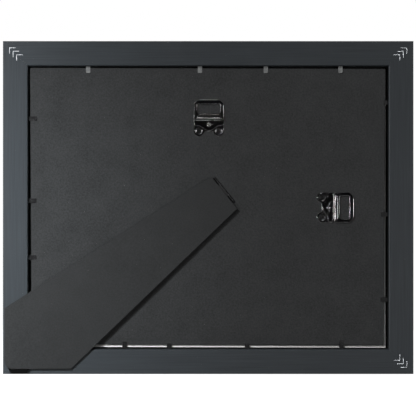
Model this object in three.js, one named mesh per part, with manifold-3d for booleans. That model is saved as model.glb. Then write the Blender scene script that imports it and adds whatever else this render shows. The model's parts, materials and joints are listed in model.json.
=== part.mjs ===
// A black certificate frame for an 11 x 8.5 inch sheet behind a 14 x 11 inch window mat.
// Four mitred rails hold the glazing, the mat, the sheet and a backing board. Flexible points
// driven into the rails keep the board in. It carries two ring hangers and an easel leg.
// Millimetres. X runs to the right as seen from the back, Y towards the front and Z up.
// The origin is the middle of the bottom rail's underside, half way through its depth.
import * as THREE from 'three';
import { mergeVertices } from 'three/addons/utils/BufferGeometryUtils.js';
import Module from 'manifold-3d';

const wasm = await Module();
wasm.setup();

const DEGREE = Math.PI / 180;

// Sheets and boards
const MAT_WIDTH = 355.6;
const MAT_HEIGHT = 279.4;
const MAT_THICKNESS = 1.4;
const WINDOW_WIDTH = 273;
const WINDOW_HEIGHT = 209.5;
const SHEET_WIDTH = 279.4;
const SHEET_HEIGHT = 215.9;
const SHEET_THICKNESS = 0.3;
const GLAZING_THICKNESS = 2;
const GLAZING_PLAY = 2;
const BACKING_THICKNESS = 3;
const BACKING_TRIM_X = 1.1;
const BACKING_TRIM_Z = 3.9;
const BACKING_SHIFT_X = -0.7;
const BACKING_SHIFT_Z = 1.15;
const LAYER_GAP = 0.1;

// Moulding: widths run inwards from the outer edge
const RAIL_WIDTH = 25;
const RAIL_DEPTH = 19;
const REBATE_PLAY_X = 4.4;
const REBATE_PLAY_Z = 3.1;
const LIP_WIDTH = 6.5;
const LIP_THICKNESS = 7.5;
const SIGHT_EDGE_THICKNESS = 3.5;
const FACE_FLAT_WIDTH = 17;
const FRONT_ROUND = 2.6;
const REAR_CHAMFER = 0.8;
const REAR_ROUND = 1.6;
const MITRE_GLUE_LINE = 0.1;

// Corner nails: V-shaped strips driven across each mitre from the back
const NAIL_FIRST = 6.7;
const NAIL_PITCH = 3.5;
const NAIL_COUNT = 3;
const NAIL_ARM = 6;
const NAIL_THICKNESS = 0.5;
const NAIL_DEPTH = 8;
const NAIL_SET = 0.1;

// Flexible points: place along the side from its middle, and reach out of the rebate wall
const POINT_WIDTH = 4.5;
const POINT_THICKNESS = 0.45;
const POINT_SHANK = 7;
const POINT_TIP_CORNER = 0.6;
const POINTS = {
  top: [[-120, 8.3], [-8.3, 8.3], [57.6, 8.3], [132.3, 8.3]],
  bottom: [[-83.6, 7.2], [-39.1, 5.5], [38.8, 5.5], [133.2, 8.6]],
  left: [[88.9, 9], [6.8, 8.4], [-50, 8.3]],
  right: [[104.9, 4.4], [-6.9, 7.2], [-92.1, 7.7]],
};

// Ring hangers: lengths run from the pivot axis, up towards the ring and down over the plate
const RING_REACH = 18.6;
const RING_HALF_WIDTH = 15;
const RING_BAR = 3.25;
const RING_THICKNESS = 1;
const RING_CORNER_SIDE = 5.1;
const RING_CORNER_END = 4.2;
const RING_NOTCH_ROOT = 15.4;
const RING_TOOTH_DEPTH = 1.3;
const RING_TOOTH_COUNT = 7;
const RING_CROSSBAR = 2.3;
const RING_GUSSET = 3;
const RING_HEEL = 1.2;
const RING_ROD_RADIUS = 0.85;
const STRAP_THICKNESS = 0.7;
const KNUCKLE_INNER = 5.5;
const KNUCKLE_OUTER = 11.4;
const PLATE_TOP = 1.75;
const LOBE_SPACING = 19.6;
const LOBE_DROP = 13;
const LOBE_RADIUS = 5.3;
const PLATE_ARCH_DROP = 13.5;
const PLATE_ARCH_HALF = 3.4;
const TAIL_HALF_WIDTH = 14.7;
const TAIL_SHOULDER = 6.6;
const TAIL_TIP = 12.7;
const EYELET_RADIUS = 3.7;
const EYELET_HEIGHT = 0.7;
const EYELET_SHANK_RADIUS = 1.6;
const EYELET_DIMPLE_RADIUS = 1.7;
const EYELET_DIMPLE_DEPTH = 0.4;
const RIVET_DROP = 6.7;
const RIVET_RADIUS = 1.9;
const RIVET_HEIGHT = 0.6;
const RIVET_SHANK_RADIUS = 1;
const FIXING_DEPTH = 2.4;
const LOBE_SWEEP = 150;
const TAIL_SWEEP = [80, 150];
const TAIL_RELIEF = 1.4;
const HANGER_INSET = 49.6;
const HANGER_SHIFT_LANDSCAPE = 0.6;

// Easel leg and its hinge: the leg points down to the frame's left corner, seen from the back
const LEG_SLANT = 39;
const LEG_HINGE_X = 17.4;
const LEG_HINGE_RISE = 15.8;
const LEG_END_WIDTH = 41;
const LEG_THICKNESS = 3;
const LEG_EDGE_CHAMFER = 0.3;
const LEG_SIDE_INSET = 1.8;
const LEG_FOOT_RISE = 5.2;
const LEG_HEEL_HEIGHT = 66;
const LEG_HEEL_LENGTH = 68;
const LEG_CORNER_RADIUS = 8;
const LEG_RAIL_CLEARANCE = 0.3;
const HINGE_LENGTH = 30.7;
const HINGE_SHIFT = 2.9;
const HINGE_BARREL_RADIUS = 1.3;
const HINGE_BORE_RADIUS = 0.8;
const HINGE_PIN_RADIUS = 0.72;
const HINGE_LEAF_THICKNESS = 0.5;
const HINGE_LEAF_LENGTH = 18;
const HINGE_END_KNUCKLE = 8;
const HINGE_KNUCKLE_GAP = 0.3;
const TACK_HEAD_RADIUS = 2;
const TACK_HEAD_HEIGHT = 0.4;
const TACK_SHANK_RADIUS = 0.8;
const TACK_SPACING = 18;
const TACK_DISTANCE = 11;
const BUMPER_INSET = 5.2;
const BUMPER_TOP_WIDTH = 19.4;
const BUMPER_TAPER = 2.1;
const BUMPER_RISE = 0.9;
const BUMPER_TONGUE_WIDTH = 11;
const BUMPER_TONGUE_LENGTH = 6;
const BUMPER_TONGUE_THICKNESS = 1;

// Clearances
const SEAT_GAP = 0.1;
const SLOT_GAP = 0.1;
const SWING_GAP = 0.35;
const ROUND_STEPS = 16;

// Cutters run past the faces they cut, and pieces to be joined run into each other
const OVERRUN = 1;
const JOIN = 0.5;

// Sizes that follow
const OPENING_WIDTH = MAT_WIDTH + REBATE_PLAY_X;
const OPENING_HEIGHT = MAT_HEIGHT + REBATE_PLAY_Z;
const FRAME_WIDTH = OPENING_WIDTH + 2 * RAIL_WIDTH;
const FRAME_HEIGHT = OPENING_HEIGHT + 2 * RAIL_WIDTH;
const CENTRE_Z = FRAME_HEIGHT / 2;
const FRONT_Y = RAIL_DEPTH / 2;
const REAR_Y = -RAIL_DEPTH / 2;
const LIP_REAR_Y = FRONT_Y - LIP_THICKNESS;
const BACKING_WIDTH = MAT_WIDTH - BACKING_TRIM_X;
const BACKING_HEIGHT = MAT_HEIGHT - BACKING_TRIM_Z;
const BACKING_Z = CENTRE_Z + BACKING_SHIFT_Z;

const STACK = ['glazing', 'mat', 'sheet', 'backing'];
const STACK_THICKNESS = {
  glazing: GLAZING_THICKNESS,
  mat: MAT_THICKNESS,
  sheet: SHEET_THICKNESS,
  backing: BACKING_THICKNESS,
};
const LAYERS = {};
STACK.reduce((y, name) => {
  const front = y - LAYER_GAP;
  const rear = front - STACK_THICKNESS[name];
  LAYERS[name] = { front, rear };
  return rear;
}, LIP_REAR_Y);
const BACK_FACE_Y = LAYERS.backing.rear;

// Finishes
const FINISHES = {
  moulding: { color: 0x3a3e44, roughness: 0.45, metalness: 0 },
  backing: { color: 0x303132, roughness: 0.8, metalness: 0 },
  leg: { color: 0x363838, roughness: 0.75, metalness: 0 },
  blackSteel: { color: 0x101113, roughness: 0.25, metalness: 0.6 },
  pointSteel: { color: 0x1b1c1e, roughness: 0.45, metalness: 0.7 },
  nailSteel: { color: 0x6d7076, roughness: 0.4, metalness: 0.9 },
  rubber: { color: 0x0b0b0c, roughness: 0.85, metalness: 0 },
  mat: { color: 0xf2f0ea, roughness: 0.9, metalness: 0 },
  paper: { color: 0xf6f2e6, roughness: 0.9, metalness: 0 },
  glass: { color: 0xe6f0ee, roughness: 0.05, metalness: 0, transparent: true, opacity: 0.3 },
};
const MATERIALS = Object.fromEntries(
  Object.entries(FINISHES).map(([name, finish]) => [
    name,
    new THREE.MeshStandardMaterial({ ...finish, flatShading: true }),
  ]),
);

// Solids: a geometry becomes a closed solid with shared corners and its faces pointing out
function toSolid(geometry) {
  const bare = new THREE.BufferGeometry();
  bare.setAttribute('position', geometry.getAttribute('position'));
  bare.setIndex(geometry.getIndex());
  const merged = mergeVertices(bare, 1e-4);
  const points = merged.getAttribute('position').array;
  const triangles = [];
  const index = merged.getIndex().array;
  for (let i = 0; i < index.length; i += 3) {
    const [a, b, c] = index.slice(i, i + 3);
    if (a !== b && b !== c && c !== a) triangles.push([a, b, c]);
  }
  const corner = (i) => new THREE.Vector3().fromArray(points, 3 * i);
  const volume = triangles.reduce(
    (sum, [a, b, c]) => sum + corner(a).dot(corner(b).cross(corner(c))),
    0,
  );
  if (volume < 0) triangles.forEach((t) => t.reverse());
  return new wasm.Manifold(
    new wasm.Mesh({
      numProp: 3,
      vertProperties: Float32Array.from(points),
      triVerts: Uint32Array.from(triangles.flat()),
    }),
  );
}

function toGeometry(solid) {
  const { vertProperties, triVerts } = solid.getMesh();
  const geometry = new THREE.BufferGeometry();
  geometry.setAttribute('position', new THREE.BufferAttribute(vertProperties, 3));
  geometry.setIndex(new THREE.BufferAttribute(triVerts, 1));
  return geometry;
}

function combine(additions, cutters = []) {
  const whole = additions.map(toSolid).reduce((sum, solid) => sum.add(solid));
  return toGeometry(cutters.map(toSolid).reduce((rest, cutter) => rest.subtract(cutter), whole));
}

function block([x0, x1], [y0, y1], [z0, z1]) {
  const geometry = new THREE.BoxGeometry(x1 - x0, y1 - y0, z1 - z0);
  return geometry.translate((x0 + x1) / 2, (y0 + y1) / 2, (z0 + z1) / 2);
}

// An outline in X and Y, drawn out along Z, with chamfered edges if a chamfer is given
function prism(outline, [z0, z1], { chamfer = 0, holes = [] } = {}) {
  const path = (points) => points.map(([x, y]) => new THREE.Vector2(x, y));
  const shape = new THREE.Shape(path(outline));
  holes.forEach((hole) => shape.holes.push(new THREE.Path(path(hole))));
  const geometry = new THREE.ExtrudeGeometry(shape, {
    depth: z1 - z0 - 2 * chamfer,
    steps: 1,
    bevelEnabled: chamfer > 0,
    bevelThickness: chamfer,
    bevelSize: chamfer,
    bevelOffset: -chamfer,
    bevelSegments: 1,
  });
  return geometry.translate(0, 0, z0 + chamfer);
}

function arc([x, y], radius, from, to, steps) {
  return Array.from({ length: steps + 1 }, (_, i) => {
    const angle = (from + ((to - from) * i) / steps) * DEGREE;
    return [x + radius * Math.cos(angle), y + radius * Math.sin(angle)];
  });
}

// A right half outline, from top to bottom, is closed by its mirror image
function mirrored(half) {
  const left = half.map(([x, y]) => [-x, y]).reverse();
  return [...half, ...left.filter(([x]) => x !== 0)];
}

// A round bar along X
function rod(radius, [x0, x1], y = 0, z = 0) {
  const geometry = new THREE.CylinderGeometry(radius, radius, x1 - x0, ROUND_STEPS);
  return geometry.rotateZ(Math.PI / 2).translate((x0 + x1) / 2, y, z);
}

// A profile of radius and height, turned about Z at a place in X and Y
function turned(profile, [x, y]) {
  const points = profile.map(([radius, height]) => new THREE.Vector2(radius, height));
  const geometry = new THREE.LatheGeometry(points, ROUND_STEPS);
  return geometry.rotateX(Math.PI / 2).translate(x, y, 0);
}

// A round hole along Z at a place in X and Y
function drill(radius, [z0, z1], place) {
  return turned([[0, z0], [radius, z0], [radius, z1], [0, z1]], place);
}

function mesh(name, finish, geometry) {
  const piece = new THREE.Mesh(geometry, MATERIALS[finish]);
  piece.name = name;
  return piece;
}

// Moulding section in width from the outer edge and depth, rear edge first
function railSection() {
  const sight = RAIL_WIDTH + LIP_WIDTH;
  return [
    [REAR_CHAMFER, REAR_Y],
    ...arc([RAIL_WIDTH - REAR_ROUND, REAR_Y + REAR_ROUND], REAR_ROUND, -90, 0, 3),
    [RAIL_WIDTH, LIP_REAR_Y],
    [sight, LIP_REAR_Y],
    [sight, LIP_REAR_Y + SIGHT_EDGE_THICKNESS],
    ...coveCurve(sight),
    [FACE_FLAT_WIDTH, FRONT_Y],
    ...arc([FRONT_ROUND, FRONT_Y - FRONT_ROUND], FRONT_ROUND, 90, 180, 4),
    [0, REAR_Y + REAR_CHAMFER],
  ];
}

// The front falls from the flat band to the sight edge in one hollow curve
function coveCurve(sight) {
  const curve = new THREE.QuadraticBezierCurve(
    new THREE.Vector2(sight, LIP_REAR_Y + SIGHT_EDGE_THICKNESS),
    new THREE.Vector2(sight - LIP_WIDTH, LIP_REAR_Y + SIGHT_EDGE_THICKNESS),
    new THREE.Vector2(FACE_FLAT_WIDTH, FRONT_Y),
  );
  return curve.getPoints(5).slice(1, -1).map(({ x, y }) => [x, y]);
}

// The section along X, each end cut at 45 degrees, its width running up along Z
function mitredBar(section, length) {
  const setBack = MITRE_GLUE_LINE / Math.SQRT2;
  const count = section.length;
  const end = (side) => section.flatMap(([w, y]) => [side * (length / 2 - w - setBack), y, w]);
  const contour = section.map(([w, y]) => new THREE.Vector2(w, y));
  const cap = THREE.ShapeUtils.triangulateShape(contour, []);
  const triangles = [
    ...cap,
    ...cap.map(([a, b, c]) => [a + count, c + count, b + count]),
  ];
  for (let i = 0; i < count; i += 1) {
    const j = (i + 1) % count;
    triangles.push([j, i, i + count], [j, i + count, j + count]);
  }
  const geometry = new THREE.BufferGeometry();
  const corners = new Float32Array([...end(-1), ...end(1)]);
  geometry.setAttribute('position', new THREE.BufferAttribute(corners, 3));
  geometry.setIndex(triangles.flat());
  return geometry;
}

// Sides: a rail's own frame is the bottom rail's, turned about Y. Places along a side count
// to the right or up, and the last value says which way the rail's own X runs.
const SIDES = {
  bottom: { length: FRAME_WIDTH, turn: 0, place: [0, 0, 0], sign: 1, end: 'bottom_right' },
  left: {
    length: FRAME_HEIGHT,
    turn: 90,
    place: [-FRAME_WIDTH / 2, 0, CENTRE_Z],
    sign: -1,
    end: 'bottom_left',
  },
  top: { length: FRAME_WIDTH, turn: 180, place: [0, 0, FRAME_HEIGHT], sign: -1, end: 'top_left' },
  right: {
    length: FRAME_HEIGHT,
    turn: -90,
    place: [FRAME_WIDTH / 2, 0, CENTRE_Z],
    sign: 1,
    end: 'top_right',
  },
};

const POINT_FRONT_Y = BACK_FACE_Y - SEAT_GAP;
const POINT_REAR_Y = POINT_FRONT_Y - POINT_THICKNESS;

function nailPlaces() {
  return Array.from({ length: NAIL_COUNT }, (_, i) => NAIL_FIRST + i * NAIL_PITCH);
}

// The slot that one arm of a corner nail takes in a rail, at either end of the rail
function nailSlot(length, place, side) {
  const half = NAIL_THICKNESS / 2 + SLOT_GAP;
  const near = length / 2 - place + half;
  const far = length / 2 - place - NAIL_ARM - SLOT_GAP;
  const span = side > 0 ? [far, near] : [-near, -far];
  const depth = [REAR_Y - OVERRUN, REAR_Y + NAIL_DEPTH + SLOT_GAP];
  return block(span, depth, [place - half, place + half]);
}

function pointSlot(along) {
  const half = POINT_WIDTH / 2 + SLOT_GAP;
  return block(
    [along - half, along + half],
    [POINT_REAR_Y - SLOT_GAP, POINT_FRONT_Y + SLOT_GAP],
    [RAIL_WIDTH - POINT_SHANK - SLOT_GAP, RAIL_WIDTH + OVERRUN],
  );
}

function rail(name, { length, sign }) {
  const slots = POINTS[name].map(([along]) => pointSlot(sign * along));
  nailPlaces().forEach((place) => {
    slots.push(nailSlot(length, place, 1), nailSlot(length, place, -1));
  });
  return mesh(`rail_${name}`, 'moulding', combine([mitredBar(railSection(), length)], slots));
}

// One arm lies in this rail and the other in the rail that it meets
function cornerNail(name, length, place) {
  const half = NAIL_THICKNESS / 2;
  const x = length / 2 - place;
  const outline = [
    [x + half, place - half],
    [x + half, place + NAIL_ARM],
    [x - half, place + NAIL_ARM],
    [x - half, place + half],
    [x - NAIL_ARM, place + half],
    [x - NAIL_ARM, place - half],
  ];
  const depth = [-REAR_Y - NAIL_DEPTH, -REAR_Y - NAIL_SET];
  return mesh(name, 'nailSteel', combine([prism(outline, depth).rotateX(Math.PI / 2)]));
}

// A flat strip with a pointed shank in the rail and a blunt end over the backing board
function flexiblePoint(name, along, reach) {
  const half = POINT_WIDTH / 2;
  const tip = RAIL_WIDTH + reach;
  const shank = RAIL_WIDTH - POINT_SHANK;
  const outline = [
    [along, shank],
    [along + half, shank + half],
    [along + half, tip - POINT_TIP_CORNER],
    [along + half - POINT_TIP_CORNER, tip],
    [along - half + POINT_TIP_CORNER, tip],
    [along - half, tip - POINT_TIP_CORNER],
    [along - half, shank + half],
  ];
  const strip = prism(outline, [-POINT_FRONT_Y, -POINT_REAR_Y]).rotateX(Math.PI / 2);
  return mesh(name, 'pointSteel', combine([strip]));
}

function side(name) {
  const { length, turn, place, sign, end } = SIDES[name];
  const group = new THREE.Group();
  group.rotation.y = turn * DEGREE;
  group.position.set(...place);
  group.add(rail(name, SIDES[name]));
  nailPlaces().forEach((at, i) => {
    group.add(cornerNail(`corner_nail_${end}_${i + 1}`, length, at));
  });
  POINTS[name].forEach(([along, reach], i) => {
    group.add(flexiblePoint(`point_${name}_${i + 1}`, sign * along, reach));
  });
  return group;
}

// A sheet centred in the rebate unless it is shifted
function sheet(width, height, { front, rear }, x = 0, z = CENTRE_Z) {
  return block([x - width / 2, x + width / 2], [rear, front], [z - height / 2, z + height / 2]);
}

// The window is bevelled at 45 degrees, wider at the front
function matBoard() {
  const { front, rear } = LAYERS.mat;
  const corners = (y, grow) => {
    const x = WINDOW_WIDTH / 2 + grow;
    const z = WINDOW_HEIGHT / 2 + grow;
    return [[-x, y, -z], [x, y, -z], [x, y, z], [-x, y, z]].flat();
  };
  const window = new THREE.BufferGeometry();
  const points = [
    ...corners(rear - OVERRUN, -OVERRUN),
    ...corners(front + OVERRUN, MAT_THICKNESS + OVERRUN),
  ];
  window.setAttribute('position', new THREE.BufferAttribute(new Float32Array(points), 3));
  const faces = [[0, 1, 2, 3], [7, 6, 5, 4], [4, 5, 1, 0], [5, 6, 2, 1], [6, 7, 3, 2], [7, 4, 0, 3]];
  window.setIndex(faces.flatMap(([a, b, c, d]) => [a, b, c, a, c, d]));
  window.translate(0, 0, CENTRE_Z);
  return mesh('mat_board', 'mat', combine([sheet(MAT_WIDTH, MAT_HEIGHT, LAYERS.mat)], [window]));
}

// Places on the backing: X is along a hinge axis, Y away from it and Z out of the board.
// A turn of 0 points Y up the frame, and 90 points it to the right.
function onBacking(x, z, turn, lift = 0, height = 0) {
  const plane = new THREE.Group();
  plane.rotation.x = Math.PI / 2 + lift;
  const placed = new THREE.Group();
  placed.rotation.y = turn * DEGREE;
  placed.position.set(x, BACK_FACE_Y - height, z);
  placed.add(plane);
  return { placed, plane };
}

const HANGERS = {
  landscape: {
    x: HANGER_SHIFT_LANDSCAPE,
    z: BACKING_Z + BACKING_HEIGHT / 2 - HANGER_INSET,
    turn: 0,
  },
  portrait: {
    x: BACKING_SHIFT_X + BACKING_WIDTH / 2 - HANGER_INSET,
    z: CENTRE_Z,
    turn: 90,
  },
};
const LOBES = [[-LOBE_SPACING / 2, -LOBE_DROP], [LOBE_SPACING / 2, -LOBE_DROP]];
const RIVET_PLACE = [0, -RIVET_DROP];
const KNUCKLE_BORE = RING_ROD_RADIUS + SLOT_GAP;
const KNUCKLE_RADIUS = KNUCKLE_BORE + STRAP_THICKNESS;
const STRAP_BACK = SEAT_GAP;
const STRAP_TOP = STRAP_BACK + STRAP_THICKNESS;
const TAIL_TOP = STRAP_TOP + STRAP_THICKNESS;
const RING_AXIS_HEIGHT = STRAP_BACK + KNUCKLE_RADIUS;

// The strap's lower layer ends in two round lobes, with an arch between them
function strapOutline() {
  const [x, y] = LOBES[1];
  return mirrored([
    [x + LOBE_RADIUS, -PLATE_TOP],
    ...arc([x, y], LOBE_RADIUS, 0, -LOBE_SWEEP, 6),
    [PLATE_ARCH_HALF, -PLATE_ARCH_DROP],
  ]);
}

// Its tail comes back over the roll and ends in a blunt V between the eyelets
function tailOutline() {
  const relief = EYELET_RADIUS + TAIL_RELIEF;
  return mirrored([
    [TAIL_HALF_WIDTH, -PLATE_TOP],
    [TAIL_HALF_WIDTH, -TAIL_SHOULDER],
    ...arc(LOBES[1], relief, ...TAIL_SWEEP, 4),
    [PLATE_ARCH_HALF / 2, -TAIL_TIP],
  ]);
}

function hangerPlate(name) {
  const additions = [
    prism(strapOutline(), [STRAP_BACK, STRAP_TOP]),
    prism(tailOutline(), [STRAP_BACK + STRAP_THICKNESS / 2, TAIL_TOP]),
  ];
  const bore = [-KNUCKLE_OUTER - OVERRUN, KNUCKLE_OUTER + OVERRUN];
  const cutters = [rod(KNUCKLE_BORE, bore, 0, RING_AXIS_HEIGHT)];
  [[-KNUCKLE_OUTER, -KNUCKLE_INNER], [KNUCKLE_INNER, KNUCKLE_OUTER]].forEach((span) => {
    additions.push(
      rod(KNUCKLE_RADIUS, span, 0, RING_AXIS_HEIGHT),
      block(span, [-PLATE_TOP - JOIN, 0], [STRAP_BACK, STRAP_TOP]),
      block(span, [-PLATE_TOP - JOIN, -KNUCKLE_RADIUS / 2], [STRAP_BACK, TAIL_TOP]),
    );
  });
  LOBES.forEach((place) => {
    cutters.push(drill(EYELET_SHANK_RADIUS + SLOT_GAP, [-OVERRUN, TAIL_TOP + OVERRUN], place));
  });
  cutters.push(drill(RIVET_SHANK_RADIUS + SLOT_GAP, [-OVERRUN, TAIL_TOP + OVERRUN], RIVET_PLACE));
  return mesh(name, 'blackSteel', combine(additions, cutters));
}

// The opening's far edge is a row of teeth, and its near corners are filled by gussets
function ringOpening() {
  const half = RING_HALF_WIDTH - RING_BAR;
  const near = KNUCKLE_RADIUS + SWING_GAP + RING_CROSSBAR;
  const root = RING_NOTCH_ROOT;
  const pitch = (2 * half) / RING_TOOTH_COUNT;
  const teeth = Array.from({ length: 2 * RING_TOOTH_COUNT + 1 }, (_, i) => [
    half - (i * pitch) / 2,
    i % 2 ? root : root - RING_TOOTH_DEPTH,
  ]);
  return [
    ...teeth,
    [-half, near + RING_GUSSET],
    [-half + RING_GUSSET, near],
    [half - RING_GUSSET, near],
    [half, near + RING_GUSSET],
  ];
}

function hangerRing(name) {
  const half = RING_HALF_WIDTH;
  const inner = half - RING_BAR;
  const crossbar = KNUCKLE_RADIUS + SWING_GAP;
  const outline = mirrored([
    [half - RING_CORNER_SIDE, RING_REACH],
    [half, RING_REACH - RING_CORNER_END],
    [half, -RING_HEEL],
    [inner, -RING_HEEL],
    [inner, crossbar],
  ]);
  const flat = prism(outline, [-RING_THICKNESS / 2, RING_THICKNESS / 2], {
    holes: [ringOpening()],
  });
  const pivot = rod(RING_ROD_RADIUS, [-inner - JOIN, inner + JOIN]);
  const geometry = combine([flat, pivot]).translate(0, 0, RING_AXIS_HEIGHT);
  return mesh(name, 'blackSteel', geometry);
}

function eyelet(name, place) {
  const seat = STRAP_TOP + SEAT_GAP;
  const top = seat + EYELET_HEIGHT;
  const floor = top - EYELET_DIMPLE_DEPTH;
  const profile = [
    [0, -FIXING_DEPTH],
    [EYELET_SHANK_RADIUS, -FIXING_DEPTH],
    [EYELET_SHANK_RADIUS, seat],
    [EYELET_RADIUS, seat],
    [EYELET_RADIUS, seat + EYELET_HEIGHT / 2],
    [EYELET_RADIUS - EYELET_HEIGHT / 2, top],
    [EYELET_DIMPLE_RADIUS + EYELET_HEIGHT / 2, top],
    [EYELET_DIMPLE_RADIUS, floor],
    [0, floor],
  ];
  return mesh(name, 'blackSteel', combine([turned(profile, place)]));
}

// A round head on a plain shank, from the shank's end to the head's crown
function stud(name, finish, place, { shank, head, height, from, seat }) {
  const profile = [
    [0, from],
    [shank, from],
    [shank, seat],
    [head, seat],
    [head, seat + height / 2],
    [head / 2, seat + height],
    [0, seat + height],
  ];
  return mesh(name, finish, combine([turned(profile, place)]));
}

function hanger(way) {
  const { x, z, turn } = HANGERS[way];
  const { placed, plane } = onBacking(x, z, turn);
  plane.add(hangerPlate(`hanger_${way}_plate`), hangerRing(`hanger_${way}_ring`));
  LOBES.forEach((place, i) => plane.add(eyelet(`hanger_${way}_eyelet_${i + 1}`, place)));
  plane.add(
    stud(`hanger_${way}_rivet`, 'blackSteel', RIVET_PLACE, {
      shank: RIVET_SHANK_RADIUS,
      head: RIVET_RADIUS,
      height: RIVET_HEIGHT,
      from: -FIXING_DEPTH,
      seat: TAIL_TOP + SEAT_GAP,
    }),
  );
  return placed;
}

// Leg: X lies along the hinge axis, Y down the leg and Z out of the board, from the axis
const HINGE_Z = CENTRE_Z + LEG_HINGE_RISE;
const HINGE_AXIS_HEIGHT = SEAT_GAP + HINGE_BARREL_RADIUS;
const LEG_TURN = -(90 + LEG_SLANT);
const LEG_INNER = HINGE_BARREL_RADIUS + SEAT_GAP;
const LEG_OUTER = LEG_INNER + LEG_THICKNESS;
const LEG_START = HINGE_BARREL_RADIUS + SWING_GAP;
const LEG_LEFT = -FRAME_WIDTH / 2 + LEG_SIDE_INSET;
const TACK_PLACES = [-1, 1].map((s) => [HINGE_SHIFT + (s * TACK_SPACING) / 2, TACK_DISTANCE]);

// A place in the frame's X and Z, as the leg measures it
function toLeg([x, z]) {
  const sin = Math.sin(LEG_SLANT * DEGREE);
  const cos = Math.cos(LEG_SLANT * DEGREE);
  const dx = x - LEG_HINGE_X;
  const dz = z - HINGE_Z;
  return [dz * cos - dx * sin, -dx * cos - dz * sin];
}

function legOutline() {
  const corner = [LEG_LEFT + LEG_CORNER_RADIUS, LEG_FOOT_RISE + LEG_CORNER_RADIUS];
  return [
    [LEG_END_WIDTH / 2, LEG_START],
    toLeg([LEG_LEFT, LEG_HEEL_HEIGHT]),
    ...arc(corner, LEG_CORNER_RADIUS, 180, 270, 5).map(toLeg),
    toLeg([-FRAME_WIDTH / 2 + LEG_HEEL_LENGTH, LEG_FOOT_RISE]),
    [-LEG_END_WIDTH / 2, LEG_START],
  ];
}

// How far down the leg its edges first pass over the rails
function legCrossing() {
  const outline = legOutline();
  const walls = [toLeg([-OPENING_WIDTH / 2, RAIL_WIDTH]), toLeg([-OPENING_WIDTH / 2, CENTRE_Z])];
  const floor = [toLeg([-OPENING_WIDTH / 2, RAIL_WIDTH]), toLeg([0, RAIL_WIDTH])];
  return Math.min(
    meetingY([outline[0], outline[1]], walls),
    meetingY([outline.at(-1), outline.at(-2)], floor),
  );
}

function meetingY([[ax, ay], [bx, by]], [[cx, cy], [dx, dy]]) {
  const cross = (bx - ax) * (dy - cy) - (by - ay) * (dx - cx);
  const t = ((cx - ax) * (dy - cy) - (cy - ay) * (dx - cx)) / cross;
  return ay + t * (by - ay);
}

// The folded leg leans out just enough to lie clear of the rails' rear faces
const RAIL_REAR_HEIGHT = BACK_FACE_Y - REAR_Y - HINGE_AXIS_HEIGHT;
const LEG_LIFT = Math.atan((RAIL_REAR_HEIGHT + LEG_RAIL_CLEARANCE - LEG_INNER) / legCrossing());

const BUMPER_LEFT = LEG_LEFT + BUMPER_INSET;
const BUMPER_MIDDLE = BUMPER_LEFT + BUMPER_TOP_WIDTH / 2;
const TONGUE_INNER = LEG_INNER + (LEG_THICKNESS - BUMPER_TONGUE_THICKNESS) / 2;

function tongueOutline(gap, root) {
  const half = BUMPER_TONGUE_WIDTH / 2 + gap;
  const top = LEG_FOOT_RISE + BUMPER_TONGUE_LENGTH + gap;
  return [
    [BUMPER_MIDDLE - half, root],
    [BUMPER_MIDDLE + half, root],
    [BUMPER_MIDDLE + half, top],
    [BUMPER_MIDDLE - half, top],
  ].map(toLeg);
}

function legBoard() {
  const board = prism(legOutline(), [LEG_INNER, LEG_OUTER], { chamfer: LEG_EDGE_CHAMFER });
  const slot = prism(tongueOutline(SLOT_GAP, LEG_FOOT_RISE - OVERRUN), [
    TONGUE_INNER - SLOT_GAP,
    TONGUE_INNER + BUMPER_TONGUE_THICKNESS + SLOT_GAP,
  ]);
  const holes = TACK_PLACES.map((place) =>
    drill(TACK_SHANK_RADIUS + SLOT_GAP, [0, LEG_INNER + FIXING_DEPTH + SLOT_GAP], place),
  );
  return mesh('easel_leg', 'leg', combine([board], [slot, ...holes]));
}

// A tapered foot under the leg's lower edge, with a tongue in a slot in that edge
function bumper() {
  const top = LEG_FOOT_RISE - SEAT_GAP;
  const right = BUMPER_LEFT + BUMPER_TOP_WIDTH;
  const outline = [
    [BUMPER_LEFT, top],
    [BUMPER_LEFT + BUMPER_TAPER, BUMPER_RISE],
    [right - BUMPER_TAPER, BUMPER_RISE],
    [right, top],
  ].map(toLeg);
  const tongue = [TONGUE_INNER, TONGUE_INNER + BUMPER_TONGUE_THICKNESS];
  const geometry = combine([
    prism(outline, [LEG_INNER, LEG_OUTER]),
    prism(tongueOutline(0, top - JOIN), tongue),
  ]);
  return mesh('easel_leg_bumper', 'rubber', geometry);
}

const HINGE_START = HINGE_SHIFT - HINGE_LENGTH / 2;
const HINGE_END = HINGE_SHIFT + HINGE_LENGTH / 2;

// The board's leaf has the two end knuckles and the leg's leaf the middle one
function hingeSpans(leaf) {
  const left = HINGE_START + HINGE_END_KNUCKLE;
  const right = HINGE_END - HINGE_END_KNUCKLE;
  if (leaf === 'leg') return [[left + HINGE_KNUCKLE_GAP, right - HINGE_KNUCKLE_GAP]];
  return [[HINGE_START, left], [right, HINGE_END]];
}

function hingeLeaf(name, leaf, [low, high]) {
  const clear = HINGE_BARREL_RADIUS + SWING_GAP;
  const additions = [block([HINGE_START, HINGE_END], [clear, HINGE_LEAF_LENGTH], [low, high])];
  hingeSpans(leaf).forEach((span) => {
    additions.push(rod(HINGE_BARREL_RADIUS, span), block(span, [0, clear + JOIN], [low, high]));
  });
  const cutters = [rod(HINGE_BORE_RADIUS, [HINGE_START - OVERRUN, HINGE_END + OVERRUN])];
  TACK_PLACES.forEach((place) => {
    cutters.push(drill(TACK_SHANK_RADIUS + SLOT_GAP, [low - OVERRUN, high + OVERRUN], place));
  });
  return mesh(name, 'blackSteel', combine(additions, cutters));
}

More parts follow.
